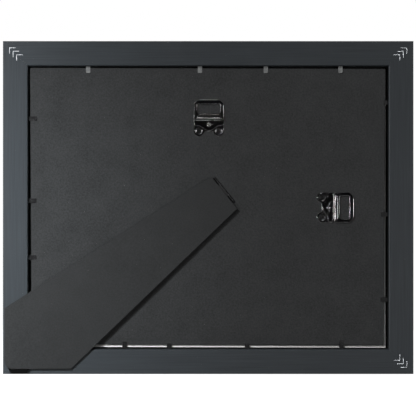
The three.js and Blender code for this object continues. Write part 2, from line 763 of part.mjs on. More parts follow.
function easel() {
  const place = [LEG_HINGE_X, HINGE_Z, LEG_TURN];
  const fixed = onBacking(...place, 0, HINGE_AXIS_HEIGHT);
  const moving = onBacking(...place, LEG_LIFT, HINGE_AXIS_HEIGHT);
  const inner = HINGE_BARREL_RADIUS - HINGE_LEAF_THICKNESS;
  const tack = {
    shank: TACK_SHANK_RADIUS,
    head: TACK_HEAD_RADIUS,
    height: TACK_HEAD_HEIGHT,
  };
  fixed.plane.add(
    hingeLeaf('hinge_backing_leaf', 'backing', [-HINGE_BARREL_RADIUS, -inner]),
    mesh('hinge_pin', 'pointSteel', combine([rod(HINGE_PIN_RADIUS, [HINGE_START, HINGE_END])])),
    ...TACK_PLACES.map((at, i) =>
      stud(`hinge_backing_tack_${i + 1}`, 'pointSteel', at, {
        ...tack,
        from: -HINGE_AXIS_HEIGHT - FIXING_DEPTH,
        seat: -inner + SEAT_GAP,
      }),
    ),
  );
  moving.plane.add(
    legBoard(),
    bumper(),
    hingeLeaf('hinge_leg_leaf', 'leg', [inner, HINGE_BARREL_RADIUS]),
    ...TACK_PLACES.map((at, i) =>
      stud(`hinge_leg_tack_${i + 1}`, 'pointSteel', at, {
        ...tack,
        height: -TACK_HEAD_HEIGHT,
        from: LEG_INNER + FIXING_DEPTH,
        seat: inner - SEAT_GAP,
      }),
    ),
  );
  return [fixed.placed, moving.placed];
}

// The board is drilled for the hangers' eyelets and rivets and for the hinge's tacks
function backingBoard() {
  const depth = [-FIXING_DEPTH - SLOT_GAP, OVERRUN];
  const cutters = Object.values(HANGERS).flatMap(({ x, z, turn }) => [
    ...LOBES.map((at) => throughBoard(EYELET_SHANK_RADIUS, depth, at, x, z, turn)),
    throughBoard(RIVET_SHANK_RADIUS, depth, RIVET_PLACE, x, z, turn),
  ]);
  TACK_PLACES.forEach((at) => {
    cutters.push(throughBoard(TACK_SHANK_RADIUS, depth, at, LEG_HINGE_X, HINGE_Z, LEG_TURN));
  });
  const board = sheet(BACKING_WIDTH, BACKING_HEIGHT, LAYERS.backing, BACKING_SHIFT_X, BACKING_Z);
  return mesh('backing_board', 'backing', combine([board], cutters));
}

function throughBoard(radius, depth, at, x, z, turn) {
  const hole = drill(radius + SLOT_GAP, depth, at);
  return hole.rotateX(Math.PI / 2).rotateY(turn * DEGREE).translate(x, BACK_FACE_Y, z);
}

function glazing() {
  const width = OPENING_WIDTH - GLAZING_PLAY;
  const height = OPENING_HEIGHT - GLAZING_PLAY;
  return mesh('glazing', 'glass', sheet(width, height, LAYERS.glazing));
}

const frame = new THREE.Group();
frame.add(
  ...Object.keys(SIDES).map(side),
  glazing(),
  matBoard(),
  mesh('certificate_sheet', 'paper', sheet(SHEET_WIDTH, SHEET_HEIGHT, LAYERS.sheet)),
  backingBoard(),
  hanger('landscape'),
  hanger('portrait'),
  ...easel(),
);

export default frame;
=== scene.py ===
"""The looks of a black certificate frame, shown from its back in a plain studio.

Each piece is built in millimetres in a plane of its own, which then puts it in the frame's metres.
"""

import json
import logging
import math
from collections.abc import Callable, Iterable, Mapping, Sequence
from dataclasses import dataclass, field
from enum import Enum

import bmesh
import bpy
from mathutils import Matrix, Vector


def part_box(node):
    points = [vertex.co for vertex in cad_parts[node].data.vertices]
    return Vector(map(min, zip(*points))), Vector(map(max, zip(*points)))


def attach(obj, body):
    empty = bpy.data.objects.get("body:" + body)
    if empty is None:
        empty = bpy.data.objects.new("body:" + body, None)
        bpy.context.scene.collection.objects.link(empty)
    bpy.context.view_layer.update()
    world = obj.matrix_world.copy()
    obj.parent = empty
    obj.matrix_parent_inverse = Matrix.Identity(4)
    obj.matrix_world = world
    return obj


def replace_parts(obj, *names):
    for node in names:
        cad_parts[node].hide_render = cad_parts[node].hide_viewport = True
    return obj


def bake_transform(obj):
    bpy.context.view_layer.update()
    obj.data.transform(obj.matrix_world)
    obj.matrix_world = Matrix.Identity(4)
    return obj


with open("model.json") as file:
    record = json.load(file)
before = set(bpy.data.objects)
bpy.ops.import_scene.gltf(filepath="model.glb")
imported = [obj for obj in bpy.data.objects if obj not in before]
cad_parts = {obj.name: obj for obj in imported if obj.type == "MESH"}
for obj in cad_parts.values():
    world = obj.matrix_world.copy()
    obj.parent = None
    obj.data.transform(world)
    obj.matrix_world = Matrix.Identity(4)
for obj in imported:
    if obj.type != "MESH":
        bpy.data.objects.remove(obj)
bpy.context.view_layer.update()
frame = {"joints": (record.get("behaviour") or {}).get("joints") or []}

LOG = logging.getLogger("certificate_frame")
MM = 0.001
OUTWARDS = Vector((0, -1, 0))
SHARP_ANGLE = math.radians(32)

Point = tuple[float, float]
Colour = tuple[float, float, float]
Body = bmesh.types.BMesh
Piece = bpy.types.Object
Socket = bpy.types.NodeSocket
Outputs = Mapping[str, Socket]
Corners = tuple[Point, Point, Point, Point]


class Slot(Enum):
    """The record's material slots."""

    MOULDING = "moulding"
    GLAZING = "glazing"
    MAT = "mat"
    PAPER = "certificate_paper"
    BACKING = "backing"
    LEG = "leg_board"
    BLACK_STEEL = "black_steel"
    POINT_STEEL = "point_steel"
    PLAIN_STEEL = "plain_steel"
    RUBBER = "rubber"


class Side(Enum):
    """A side of the frame, and the way its rail's own X runs."""

    BOTTOM = (1, 0, 0)
    LEFT = (0, 0, -1)
    TOP = (-1, 0, 0)
    RIGHT = (0, 0, 1)

    @property
    def word(self) -> str:
        """The side's name in the names of nodes."""
        return self.name.lower()

    @property
    def corner(self) -> str:
        """The name of the corner at the far end of the side's rail."""
        ends = {"bottom": "bottom_right", "left": "bottom_left", "top": "top_left", "right": "top_right"}
        return ends[self.word]


class Way(Enum):
    """Which way up a hanger holds the frame."""

    LANDSCAPE = "landscape"
    PORTRAIT = "portrait"


# Planes


def plane_on_back(origin: Vector, along: Vector) -> Matrix:
    """Gives a plane that faces out of the frame's back.

    Args:
        origin: Its origin, in the frame's metres.
        along: The direction of its X.

    Returns:
        A matrix from the plane's millimetres, Z out of the back, to the frame's metres.
    """
    turn = Matrix((along, OUTWARDS.cross(along), OUTWARDS)).transposed().to_4x4()
    return Matrix.Translation(origin) @ turn @ Matrix.Scale(MM, 4)


def hinge_plane(name: str) -> Matrix:
    """Gives the plane of a joint, whose X is the joint's axis.

    Args:
        name: The joint's name.

    Returns:
        The plane's matrix.
    """
    joint = next(joint for joint in frame["joints"] if joint["name"] == name)
    return plane_on_back(Vector(joint["pos_m"]), Vector(joint["axis"]).normalized())


def box_of(nodes: Iterable[str], plane: Matrix | None = None) -> tuple[Vector, Vector]:
    """Measures the box that holds some nodes.

    Args:
        nodes: The nodes' names.
        plane: A plane, square to the frame, to measure them in instead of the frame.

    Returns:
        The box's lowest and highest corners, in metres or in the plane's millimetres.
    """
    corners = [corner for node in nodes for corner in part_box(node)]
    if plane is not None:
        corners = [plane.inverted() @ corner for corner in corners]
    low = Vector([min(values) for values in zip(*corners)])
    high = Vector([max(values) for values in zip(*corners)])
    return low, high


BACK = plane_on_back(Vector((0, 0, 0)), Vector((1, 0, 0)))
FRAME_LOW, FRAME_HIGH = box_of([f"rail_{side.word}" for side in Side])
BOARD_FACE = box_of(["backing_board"], BACK)[1].z


def side_plane(side: Side) -> Matrix:
    """Gives a side's plane, with its origin in the middle of the side's outer edge.

    Args:
        side: The side.

    Returns:
        The plane's matrix: X along the rail, Y inwards and Z out of the back.
    """
    along = Vector(side.value)
    half = (FRAME_HIGH - FRAME_LOW) / 2
    inwards = [way * size for way, size in zip(OUTWARDS.cross(along), half)]
    edge = (FRAME_HIGH + FRAME_LOW) / 2 - Vector(inwards)
    return plane_on_back(Vector((edge.x, 0, edge.z)), along)


def side_length(side: Side) -> float:
    """Gives the outer length of a side in millimetres."""
    return abs((FRAME_HIGH - FRAME_LOW).dot(Vector(side.value))) / MM


# Outlines


def arc(centre: Point, radius: float, start: float, end: float, steps: int = 8) -> list[Point]:
    """Draws an arc.

    Args:
        centre: Its centre.
        radius: Its radius.
        start: The angle in degrees at which it starts.
        end: The angle in degrees at which it ends.
        steps: How many straight steps it takes.

    Returns:
        The arc's points.
    """
    angles = [math.radians(start + (end - start) * i / steps) for i in range(steps + 1)]
    return [(centre[0] + radius * math.cos(a), centre[1] + radius * math.sin(a)) for a in angles]


def curve(controls: Sequence[Point], steps: int = 8) -> list[Point]:
    """Draws a curve that starts at its first control point and ends at its last.

    Args:
        controls: The curve's three or four control points.
        steps: How many straight steps it takes.

    Returns:
        The curve's points.
    """
    points = []
    for i in range(steps + 1):
        row = [Vector(control) for control in controls]
        while len(row) > 1:
            row = [a.lerp(b, i / steps) for a, b in zip(row, row[1:])]
        points.append((row[0].x, row[0].y))
    return points


def rounded(corners: Sequence[Point], reach: float, steps: int = 4, share: float = 0.45) -> list[Point]:
    """Rounds an outline's corners.

    Args:
        corners: The outline's corners.
        reach: How far from each corner its round starts.
        steps: How many straight steps a round takes.
        share: The largest share of a side that a round may take.

    Returns:
        The outline with a curve at each corner.
    """
    points: list[Point] = []
    for before, corner, after in zip([corners[-1], *corners], corners, [*corners[1:], corners[0]]):
        ends = []
        for other in (before, after):
            arm = Vector(other) - Vector(corner)
            ends.append(Vector(corner) + arm * min(reach / arm.length, share))
        points += curve([ends[0], corner, ends[1]], steps)
    return points


def mirrored(half: Sequence[Point]) -> list[Point]:
    """Closes a right half outline, drawn from top to bottom, with its mirror image."""
    return [*half, *((-x, y) for x, y in reversed(half) if x != 0)]


def wound(points: Sequence[Point], leftwards: bool) -> list[Point]:
    """Lets an outline run leftwards, with its inside on the left, or rightwards.

    Args:
        points: The outline.
        leftwards: Which way it is to run.

    Returns:
        The outline, reversed if it ran the other way.
    """
    area = sum(a[0] * b[1] - b[0] * a[1] for a, b in zip(points, [*points[1:], points[0]]))
    return list(points) if (area > 0) == leftwards else list(reversed(points))


# Bodies in millimetres


def cut_plate(
    outline: Sequence[Point],
    span: tuple[float, float],
    rim: float,
    holes: Iterable[Sequence[Point]] = (),
    breadth: float = 1,
    steps: int = 3,
) -> Body:
    """Cuts a plate with rounded rims.

    Args:
        outline: The plate's edge in X and Y.
        span: The heights of its two faces.
        rim: The height of its rims.
        holes: The edges of its holes.
        breadth: How many times as broad as high its rims are.
        steps: How many steps a rim's quarter round takes.

    Returns:
        The plate as one closed body.
    """
    low, high = span
    line = bpy.data.curves.new("plate", "CURVE")
    line.dimensions = "2D"
    line.fill_mode = "BOTH"
    line.extrude = ((high - low) / 2 - rim) * breadth
    line.bevel_depth = rim * breadth
    line.bevel_resolution = steps - 1
    line.offset = -rim * breadth
    for points in (wound(outline, True), *(wound(hole, False) for hole in holes)):
        spline = line.splines.new("POLY")
        spline.points.add(len(points) - 1)
        for point, (x, y) in zip(spline.points, points):
            point.co = (x, y, 0, 1)
        spline.use_cyclic_u = True
    carrier = bpy.data.objects.new("plate", line)
    mesh = bpy.data.meshes.new_from_object(carrier)
    body = bmesh.new()
    body.from_mesh(mesh)
    bmesh.ops.remove_doubles(body, verts=body.verts, dist=1e-3)
    bpy.data.objects.remove(carrier)
    bpy.data.curves.remove(line)
    bpy.data.meshes.remove(mesh)
    bmesh.ops.scale(body, verts=body.verts, vec=(1, 1, 1 / breadth))
    return moved(body, (0, 0, (low + high) / 2))


def turned(profile: Sequence[Point], steps: int = 40) -> Body:
    """Turns a profile about Z.

    Args:
        profile: Its radii and heights, which start and end on the axis or close on themselves.
        steps: How many sides the round has.

    Returns:
        The turned body.
    """
    body = bmesh.new()
    rows = []
    for radius, height in profile:
        places = arc((0, 0), radius, 0, 360, steps)[1:] if radius > 0 else [(0, 0)]
        row = [body.verts.new((x, y, height)) for x, y in places]
        rows.append(row if radius > 0 else row * steps)
    if profile[0][0] > 0:
        rows.append(rows[0])
    for row, after in zip(rows, rows[1:]):
        for i in range(steps):
            # A face that reaches the axis has two corners in one, and is a triangle.
            corners = (row[i - 1], row[i], after[i], after[i - 1])
            body.faces.new(list(dict.fromkeys(corners)))
    return body


def along_x(body: Body) -> Body:
    """Turns a body so that its Z runs along X, its X along Y and its Y along Z.

    Args:
        body: The body.

    Returns:
        The same body.
    """
    turn = Matrix(((0, 0, 1), (1, 0, 0), (0, 1, 0)))
    bmesh.ops.transform(body, matrix=turn.to_4x4(), verts=body.verts)
    return body


def moved(body: Body, place: Sequence[float]) -> Body:
    """Moves a body and gives it back."""
    bmesh.ops.translate(body, verts=body.verts, vec=Vector(place))
    return body


def rod(radius: float, span: tuple[float, float], chamfer: float = 0.1) -> Body:
    """Makes a round rod along X.

    Args:
        radius: Its radius.
        span: Where it starts and ends.
        chamfer: The size of the chamfers at its ends.

    Returns:
        The rod as one closed body.
    """
    start, end = span
    first = [(0, start), (radius - chamfer, start), (radius, start + chamfer)]
    last = [(radius, end - chamfer), (radius - chamfer, end), (0, end)]
    return along_x(turned([*first, *last], steps=24))


def tube(radii: tuple[float, float], span: tuple[float, float], rim: float) -> Body:
    """Makes a round tube along X.

    Args:
        radii: Its bore's radius and its own.
        span: Where it starts and ends.
        rim: The radius of the rounds at its ends.

    Returns:
        The tube as one closed body.
    """
    inner, outer = radii
    start, end = span
    first = arc((outer - rim, start + rim), rim, -90, 0, steps=3)
    last = arc((outer - rim, end - rim), rim, 0, 90, steps=3)
    return along_x(turned([(inner, start), *first, *last, (inner, end)], steps=28))


def lofted(rings: Sequence[Sequence[Sequence[float]]]) -> Body:
    """Skins a row of rings that have the same number of corners, and caps its ends.

    Args:
        rings: The rings' corners.

    Returns:
        The body, closed.
    """
    body = bmesh.new()
    rows = [[body.verts.new(corner) for corner in ring] for ring in rings]
    for row, after in zip(rows, rows[1:]):
        for i in range(len(row)):
            body.faces.new((row[i - 1], row[i], after[i], after[i - 1]))
    body.faces.new(rows[0])
    body.faces.new(rows[-1])
    return body


def mesh_of(body: Body, name: str) -> bpy.types.Mesh:
    """Makes a body into a mesh and frees it.

    Args:
        body: The body.
        name: The mesh's name.

    Returns:
        The mesh.
    """
    mesh = bpy.data.meshes.new(name)
    body.to_mesh(mesh)
    body.free()
    return mesh


def joined(bodies: Iterable[Body]) -> Body:
    """Puts bodies into one and frees them.

    Args:
        bodies: The bodies.

    Returns:
        One body that holds them all.
    """
    whole = bmesh.new()
    for body in bodies:
        mesh = mesh_of(body, "part")
        whole.from_mesh(mesh)
        bpy.data.meshes.remove(mesh)
    return whole


def in_scene(name: str, data: bpy.types.ID) -> Piece:
    """Makes an object of a mesh, a light or a camera and links it to the scene.

    Args:
        name: The object's name.
        data: What it is made of.

    Returns:
        The object.
    """
    item = bpy.data.objects.new(name, data)
    bpy.context.scene.collection.objects.link(item)
    return item


def as_piece(name: str, body: Body, plane: Matrix) -> Piece:
    """Makes a body into an object, whose edges stay sharp past the sharp angle.

    Args:
        name: The piece's name.
        body: Its body, which is freed.
        plane: The plane that it was made in.

    Returns:
        The object, in the frame's metres.
    """
    bmesh.ops.recalc_face_normals(body, faces=body.faces)
    mesh = mesh_of(body, name)
    mesh.transform(plane)
    mesh.shade_smooth()
    mesh.set_sharp_from_angle(angle=SHARP_ANGLE)
    piece = in_scene(name, mesh)
    weighted = piece.modifiers.new("flat faces stay flat", "WEIGHTED_NORMAL")
    weighted.keep_sharp = True
    return piece


# Materials


@dataclass
class Wiring:
    """A node tree that is being wired."""

    tree: bpy.types.NodeTree

    @classmethod
    def of(cls, holder: bpy.types.Material | bpy.types.World) -> "Wiring":
        """Starts to wire a material or a world."""
        holder.use_nodes = True
        return cls(holder.node_tree)

    @property
    def shader(self) -> bpy.types.Node:
        """The shader that a new material has."""
        return self.tree.nodes["Principled BSDF"]

    def feed(self, node: bpy.types.Node, inputs: Mapping[str | int, object]) -> bpy.types.Node:
        """Links or sets a node's inputs.

        Args:
            node: The node.
            inputs: A socket to link from, or a value to set, for each input.

        Returns:
            The node.
        """
        for key, value in inputs.items():
            if isinstance(value, Socket):
                self.tree.links.new(value, node.inputs[key])
            else:
                node.inputs[key].default_value = value
        return node

    def add(
        self, kind: str, inputs: Mapping[str | int, object] | None = None, **settings: object
    ) -> bpy.types.Node:
        """Adds a node.

        Args:
            kind: The node's type.
            inputs: A socket or a value for each of its inputs.
            settings: The node's own settings.

        Returns:
            The node.
        """
        node = self.tree.nodes.new(kind)
        for key, value in settings.items():
            setattr(node, key, value)
        return self.feed(node, inputs or {})

    def calc(self, operation: str, *values: Socket | float) -> Socket:
        """Adds a Math node and gives its result."""
        return self.add("ShaderNodeMath", dict(enumerate(values)), operation=operation).outputs[0]

    def spread(self, value: Socket, source: Point, target: Sequence[Socket | float]) -> Socket:
        """Maps a value smoothly from one range to another.

        Args:
            value: The value.
            source: The range that it comes from.
            target: The range that it goes to, as values or sockets.

        Returns:
            The mapped value.
        """
        inputs = dict(enumerate([value, *source, *target]))
        return self.add("ShaderNodeMapRange", inputs, interpolation_type="SMOOTHSTEP").outputs[0]

    def mix(self, share: Socket, first: Socket | Colour, second: Socket | Colour) -> Socket:
        """Mixes two colours, which are inputs 6 and 7 and output 2 of a Mix node.

        Args:
            share: The second colour's share.
            first: The first colour.
            second: The second colour.

        Returns:
            The mixed colour.
        """
        pair = [colour if isinstance(colour, Socket) else (*colour, 1) for colour in (first, second)]
        node = self.add("ShaderNodeMix", {0: share, 6: pair[0], 7: pair[1]}, data_type="RGBA")
        return node.outputs[2]

    def tone(self, noise: Socket, contrast: Socket) -> Socket:
        """Makes a noise around 0.5 into a tone around 1."""
        swing = self.calc("MULTIPLY", self.calc("SUBTRACT", noise, 0.5), contrast)
        return self.calc("ADD", swing, 1)

    def toned(self, colour: Colour, tone: Socket) -> Socket:
        """Multiplies a colour by a tone around 1."""
        node = self.add("ShaderNodeVectorMath", {0: colour, "Scale": tone}, operation="SCALE")
        return node.outputs[0]

    def noise(self, size: Socket | float, detail: float = 2, place: Socket | None = None) -> Socket:
        """Adds a noise.

        Args:
            size: The size of its spots in millimetres.
            detail: How much finer detail it has.
            place: The place to read it at, if it isn't the place on the piece.

        Returns:
            The noise, around 0.5.
        """
        scale = self.calc("DIVIDE", 1 / MM, size)
        inputs = {"Vector": place or self.place(), "Scale": scale, "Detail": detail}
        return self.add("ShaderNodeTexNoise", inputs).outputs[0]

    def place(self) -> Socket:
        """The place on the piece, in metres."""
        return self.add("ShaderNodeTexCoord").outputs["Object"]


@dataclass(frozen=True)
class Effect:
    """A surface effect that several finishes share, as a node group that is built once."""

    name: str
    inputs: Mapping[str, float]
    outputs: tuple[str, ...]
    wire: Callable[[Wiring, Outputs], Mapping[str, Socket]]

    def group(self) -> bpy.types.NodeTree:
        """Gives the node group, which it builds the first time.

        Returns:
            The group's node tree.
        """
        tree = bpy.data.node_groups.get(self.name)
        if tree:
            return tree
        tree = bpy.data.node_groups.new(self.name, "ShaderNodeTree")
        for name, value in self.inputs.items():
            socket = tree.interface.new_socket(name, in_out="INPUT", socket_type="NodeSocketFloat")
            socket.default_value = value
        for name in self.outputs:
            tree.interface.new_socket(name, in_out="OUTPUT", socket_type="NodeSocketFloat")
        wiring = Wiring(tree)
        source = wiring.add("NodeGroupInput").outputs
        results = self.wire(wiring, {name: source[name] for name in self.inputs})
        wiring.add("NodeGroupOutput", results)
        return tree

    def on(self, wiring: Wiring, **values: object) -> Outputs:
        """Places the effect in a material.

        Args:
            wiring: The material's wiring.
            values: A value or socket for each input that isn't left as it is.

        Returns:
            The effect's outputs.
        """
        node = wiring.add("ShaderNodeGroup", node_tree=self.group())
        wiring.feed(node, {name.capitalize(): value for name, value in values.items()})
        return node.outputs


# Within the effects: clouds and streaks against an effect's size, and specks in millimetres
CLOUD_SIZE = 14
CLOUD_SHARE = 0.3
PATCH_EDGE = (0.48, 0.72)
STREAKS_PER_PATCH = 9
STREAK_EDGE = (0.35, 0.7)
FAINTEST_STREAK = 0.4
SPECK_RADIUS = 0.16


def wire_grain(wiring: Wiring, given: Outputs) -> Mapping[str, Socket]:
    """Wires fine spots under larger cloudy ones, as on paper-covered board.

    Args:
        wiring: The group's wiring.
        given: Its inputs.

    Returns:
        Its tone around 1 and its height.
    """
    fine = wiring.noise(given["Size"], detail=3)
    cloud = wiring.noise(wiring.calc("MULTIPLY", given["Size"], CLOUD_SIZE))
    clouds = wiring.calc("MULTIPLY", cloud, CLOUD_SHARE)
    both = wiring.calc("ADD", wiring.calc("MULTIPLY", fine, 1 - CLOUD_SHARE), clouds)
    return {"Tone": wiring.tone(both, given["Contrast"]), "Height": fine}


def wire_handling(wiring: Wiring, given: Outputs) -> Mapping[str, Socket]:
    """Wires the rubbed patches that hands and shelves leave.

    Args:
        wiring: The group's wiring.
        given: Its inputs.

    Returns:
        A mask of the patches.
    """
    patch = wiring.spread(wiring.noise(given["Size"], detail=4), PATCH_EDGE, (0, 1))
    finer = wiring.noise(wiring.calc("DIVIDE", given["Size"], STREAKS_PER_PATCH))
    streak = wiring.spread(finer, STREAK_EDGE, (FAINTEST_STREAK, 1))
    rubbed = wiring.calc("MULTIPLY", patch, streak)
    return {"Mask": wiring.calc("MULTIPLY", rubbed, given["Amount"])}


def wire_dust(wiring: Wiring, given: Outputs) -> Mapping[str, Socket]:
    """Wires a few pale specks, each somewhere in its own cell.

    Args:
        wiring: The group's wiring.
        given: Its inputs.

    Returns:
        A mask of the specks.
    """
    scale = wiring.calc("DIVIDE", 1 / MM, given["Spacing"])
    cells = wiring.add("ShaderNodeTexVoronoi", {"Vector": wiring.place(), "Scale": scale})
    size = wiring.calc("DIVIDE", SPECK_RADIUS, given["Spacing"])
    speck = wiring.calc("LESS_THAN", cells.outputs["Distance"], size)
    chance = wiring.add("ShaderNodeSeparateColor", {0: cells.outputs["Color"]}).outputs[0]
    kept = wiring.calc("LESS_THAN", chance, given["Amount"])
    return {"Mask": wiring.calc("MULTIPLY", speck, kept)}


def wire_lines(wiring: Wiring, given: Outputs) -> Mapping[str, Socket]:
    """Wires fine lines along one of the frame's directions, as wood or drawn steel has.

    Args:
        wiring: The group's wiring.
        given: Its inputs.

    Returns:
        Its tone around 1 and its height.
    """
    stretch = wiring.add("ShaderNodeCombineXYZ", {0: given["Across x"], 1: 1, 2: given["Across z"]})
    inputs = {0: wiring.place(), 1: stretch.outputs[0]}
    place = wiring.add("ShaderNodeVectorMath", inputs, operation="MULTIPLY").outputs[0]
    lines = wiring.noise(given["Width"], detail=3, place=place)
    return {"Tone": wiring.tone(lines, given["Contrast"]), "Height": lines}


def wire_ripple(wiring: Wiring, given: Outputs) -> Mapping[str, Socket]:
    """Wires the faint waves of sprayed lacquer."""
    return {"Height": wiring.noise(given["Size"], detail=1)}


GRAIN = Effect("paper grain", {"Size": 0.5, "Contrast": 0.5}, ("Tone", "Height"), wire_grain)
HANDLING = Effect("handling marks", {"Size": 40, "Amount": 0.5}, ("Mask",), wire_handling)
DUST = Effect("dust specks", {"Spacing": 3, "Amount": 0.2}, ("Mask",), wire_dust)
LINES = Effect(
    "fine lines",
    {"Width": 0.5, "Contrast": 0.3, "Across x": 1, "Across z": 1},
    ("Tone", "Height"),
    wire_lines,
)
RIPPLE = Effect("lacquer ripple", {"Size": 2}, ("Height",), wire_ripple)


@dataclass(frozen=True)
class Finish:
    """A finish, as one material."""

    name: str
    slot: Slot
    colour: Colour
    roughness: float
    specular: float = 0.5

    def material(self) -> bpy.types.Material:
        """Gives the finish's material, which it builds the first time.

        Returns:
            The material.
        """
        material = bpy.data.materials.get(self.name)
        if material:
            return material
        material = bpy.data.materials.new(self.name)
        wiring = Wiring.of(material)
        fixed = {"Base Color": (*self.colour, 1), "Roughness": self.roughness}
        wiring.feed(wiring.shader, {**fixed, "Specular IOR Level": self.specular})
        wiring.feed(wiring.shader, self.surface(wiring))
        return material

    def surface(self, wiring: Wiring) -> Mapping[str, object]:
        """Wires what changes over the surface.

        Args:
            wiring: The material's wiring.

        Returns:
            What feeds each of the shader's inputs.
        """
        raise NotImplementedError

    def bump(self, wiring: Wiring, height: Socket, depth: float) -> Socket:
        """Makes a height into a normal.

        Args:
            wiring: The material's wiring.
            height: The height, from 0 to 1.
            depth: What a height of 1 stands for, in millimetres.

        Returns:
            The normal.
        """
        return wiring.add("ShaderNodeBump", {"Height": height, "Distance": depth * MM}).outputs[0]

    def worn_roughness(self, wiring: Wiring, worn: Socket, change: float) -> Socket:
        """Makes a roughness that changes where the surface is worn.

        Args:
            wiring: The material's wiring.
            worn: A mask of where it is worn.
            change: How much rougher it is there.

        Returns:
            The roughness.
        """
        return wiring.spread(worn, (0, 1), (self.roughness, self.roughness + change))

    def cover(self, piece: Piece) -> None:
        """Gives a piece this finish.

        Args:
            piece: The piece.
        """
        piece.data.materials.clear()
        piece.data.materials.append(self.material())


@dataclass(frozen=True)
class SatinLacquer(Finish):
    """Satin lacquer over wood, whose grain runs along the rail."""

    upright: bool = False
    stretch: float = 0.02
    depth: float = 0.012
    dust_colour: Colour = (0.2, 0.2, 0.2)

    def surface(self, wiring: Wiring) -> Mapping[str, object]:
        """Wires faint grain, waves in the lacquer, rubbed patches and dust.

        Args:
            wiring: The material's wiring.

        Returns:
            The colour, roughness and normal.
        """
        along, across = ("across z", "across x") if self.upright else ("across x", "across z")
        lines = LINES.on(wiring, width=1.2, contrast=0.6, **{along: self.stretch, across: 1})
        rubbed = HANDLING.on(wiring, size=55, amount=0.8)["Mask"]
        specks = DUST.on(wiring, spacing=3.5, amount=0.16)["Mask"]
        ripple = RIPPLE.on(wiring, size=1.3)["Height"]
        height = wiring.calc("ADD", wiring.calc("MULTIPLY", lines["Height"], 0.5), ripple)
        return {
            "Base Color": wiring.mix(specks, wiring.toned(self.colour, lines["Tone"]), self.dust_colour),
            "Roughness": self.worn_roughness(wiring, rubbed, 0.08),
            "Normal": self.bump(wiring, height, self.depth),
        }


@dataclass(frozen=True)
class CoveredBoard(Finish):
    """Board covered in black paper."""

    grain: float = 0.5
    contrast: float = 0.6
    depth: float = 0.02
    dust_colour: Colour = (0.22, 0.22, 0.22)

    def surface(self, wiring: Wiring) -> Mapping[str, object]:
        """Wires the paper's grain, rubbed patches and dust.

        Args:
            wiring: The material's wiring.

        Returns:
            The colour, roughness and normal.
        """
        grain = GRAIN.on(wiring, size=self.grain, contrast=self.contrast)
        rubbed = HANDLING.on(wiring, size=70, amount=0.9)["Mask"]
        specks = DUST.on(wiring, spacing=4, amount=0.14)["Mask"]
        return {
            "Base Color": wiring.mix(specks, wiring.toned(self.colour, grain["Tone"]), self.dust_colour),
            "Roughness": self.worn_roughness(wiring, rubbed, -0.1),
            "Normal": self.bump(wiring, grain["Height"], self.depth),
        }


@dataclass(frozen=True)
class GlossLacquer(Finish):
    """Glossy black lacquer on stamped steel."""

    ripple: float = 1.6
    depth: float = 0.01
    coat: float = 0.7
    dulling: float = 0.008

    def surface(self, wiring: Wiring) -> Mapping[str, object]:
        """Wires waves in the lacquer and dulled patches.

        Args:
            wiring: The material's wiring.

        Returns:
            The colour, roughness and normal.
        """
        dulled = HANDLING.on(wiring, size=9, amount=1)["Mask"]
        ripple = RIPPLE.on(wiring, size=self.ripple)["Height"]
        dull_colour = tuple(part + self.dulling for part in self.colour)
        return {
            "Base Color": wiring.mix(dulled, self.colour, dull_colour),
            "Roughness": self.worn_roughness(wiring, dulled, 0.12),
            "Normal": self.bump(wiring, ripple, self.depth),
            "Coat Weight": self.coat,
        }


@dataclass(frozen=True)
class DrawnSteel(Finish):
    """Steel strip or wire with fine lines from drawing."""

    metallic: float = 1
    stain: Colour = (0.05, 0.05, 0.052)
    width: float = 0.12
    depth: float = 0.004

    def surface(self, wiring: Wiring) -> Mapping[str, object]:
        """Wires the drawn lines and darker stains.

        Args:
            wiring: The material's wiring.

        Returns:
            The colour, metallic, roughness and normal.
        """
        lines = LINES.on(wiring, width=self.width, contrast=0.7)
        stained = HANDLING.on(wiring, size=5, amount=1)["Mask"]
        return {
            "Base Color": wiring.mix(stained, wiring.toned(self.colour, lines["Tone"]), self.stain),
            "Metallic": self.metallic,
            "Roughness": self.worn_roughness(wiring, stained, 0.2),
            "Normal": self.bump(wiring, lines["Height"], self.depth),
        }


@dataclass(frozen=True)
class Stock(Finish):
    """Paper, mat board or rubber: one grain through and through."""

    grain: float = 0.3
    contrast: float = 0.1
    depth: float = 0.02

    def surface(self, wiring: Wiring) -> Mapping[str, object]:
        """Wires the grain.

        Args:
            wiring: The material's wiring.

        Returns:
            The colour, roughness and normal.
        """
        grain = GRAIN.on(wiring, size=self.grain, contrast=self.contrast)
        rubbed = HANDLING.on(wiring, size=30, amount=0.6)["Mask"]
        return {
            "Base Color": wiring.toned(self.colour, grain["Tone"]),
            "Roughness": self.worn_roughness(wiring, rubbed, -0.1),
            "Normal": self.bump(wiring, grain["Height"], self.depth),
        }


@dataclass(frozen=True)
class Glass(Finish):
    """Clear glass, through which lamps also light what lies behind."""

    shadow_tint: Colour = (0.93, 0.96, 0.95)

    def surface(self, wiring: Wiring) -> Mapping[str, object]:
        """Wires faint smears, and lets shadow rays through.

        Args:
            wiring: The material's wiring.

        Returns:
            The transmission and roughness.
        """
        smears = HANDLING.on(wiring, size=60, amount=1)["Mask"]
        shadow = wiring.add("ShaderNodeLightPath").outputs["Is Shadow Ray"]
        clear = wiring.add("ShaderNodeBsdfTransparent", {0: (*self.shadow_tint, 1)}).outputs[0]
        either = wiring.add("ShaderNodeMixShader", {0: shadow, 1: wiring.shader.outputs[0], 2: clear})
        wiring.feed(wiring.tree.nodes["Material Output"], {"Surface": either.outputs[0]})
        return {
            "Transmission Weight": 1,
            "IOR": 1.5,
            "Roughness": self.worn_roughness(wiring, smears, 0.03),
        }


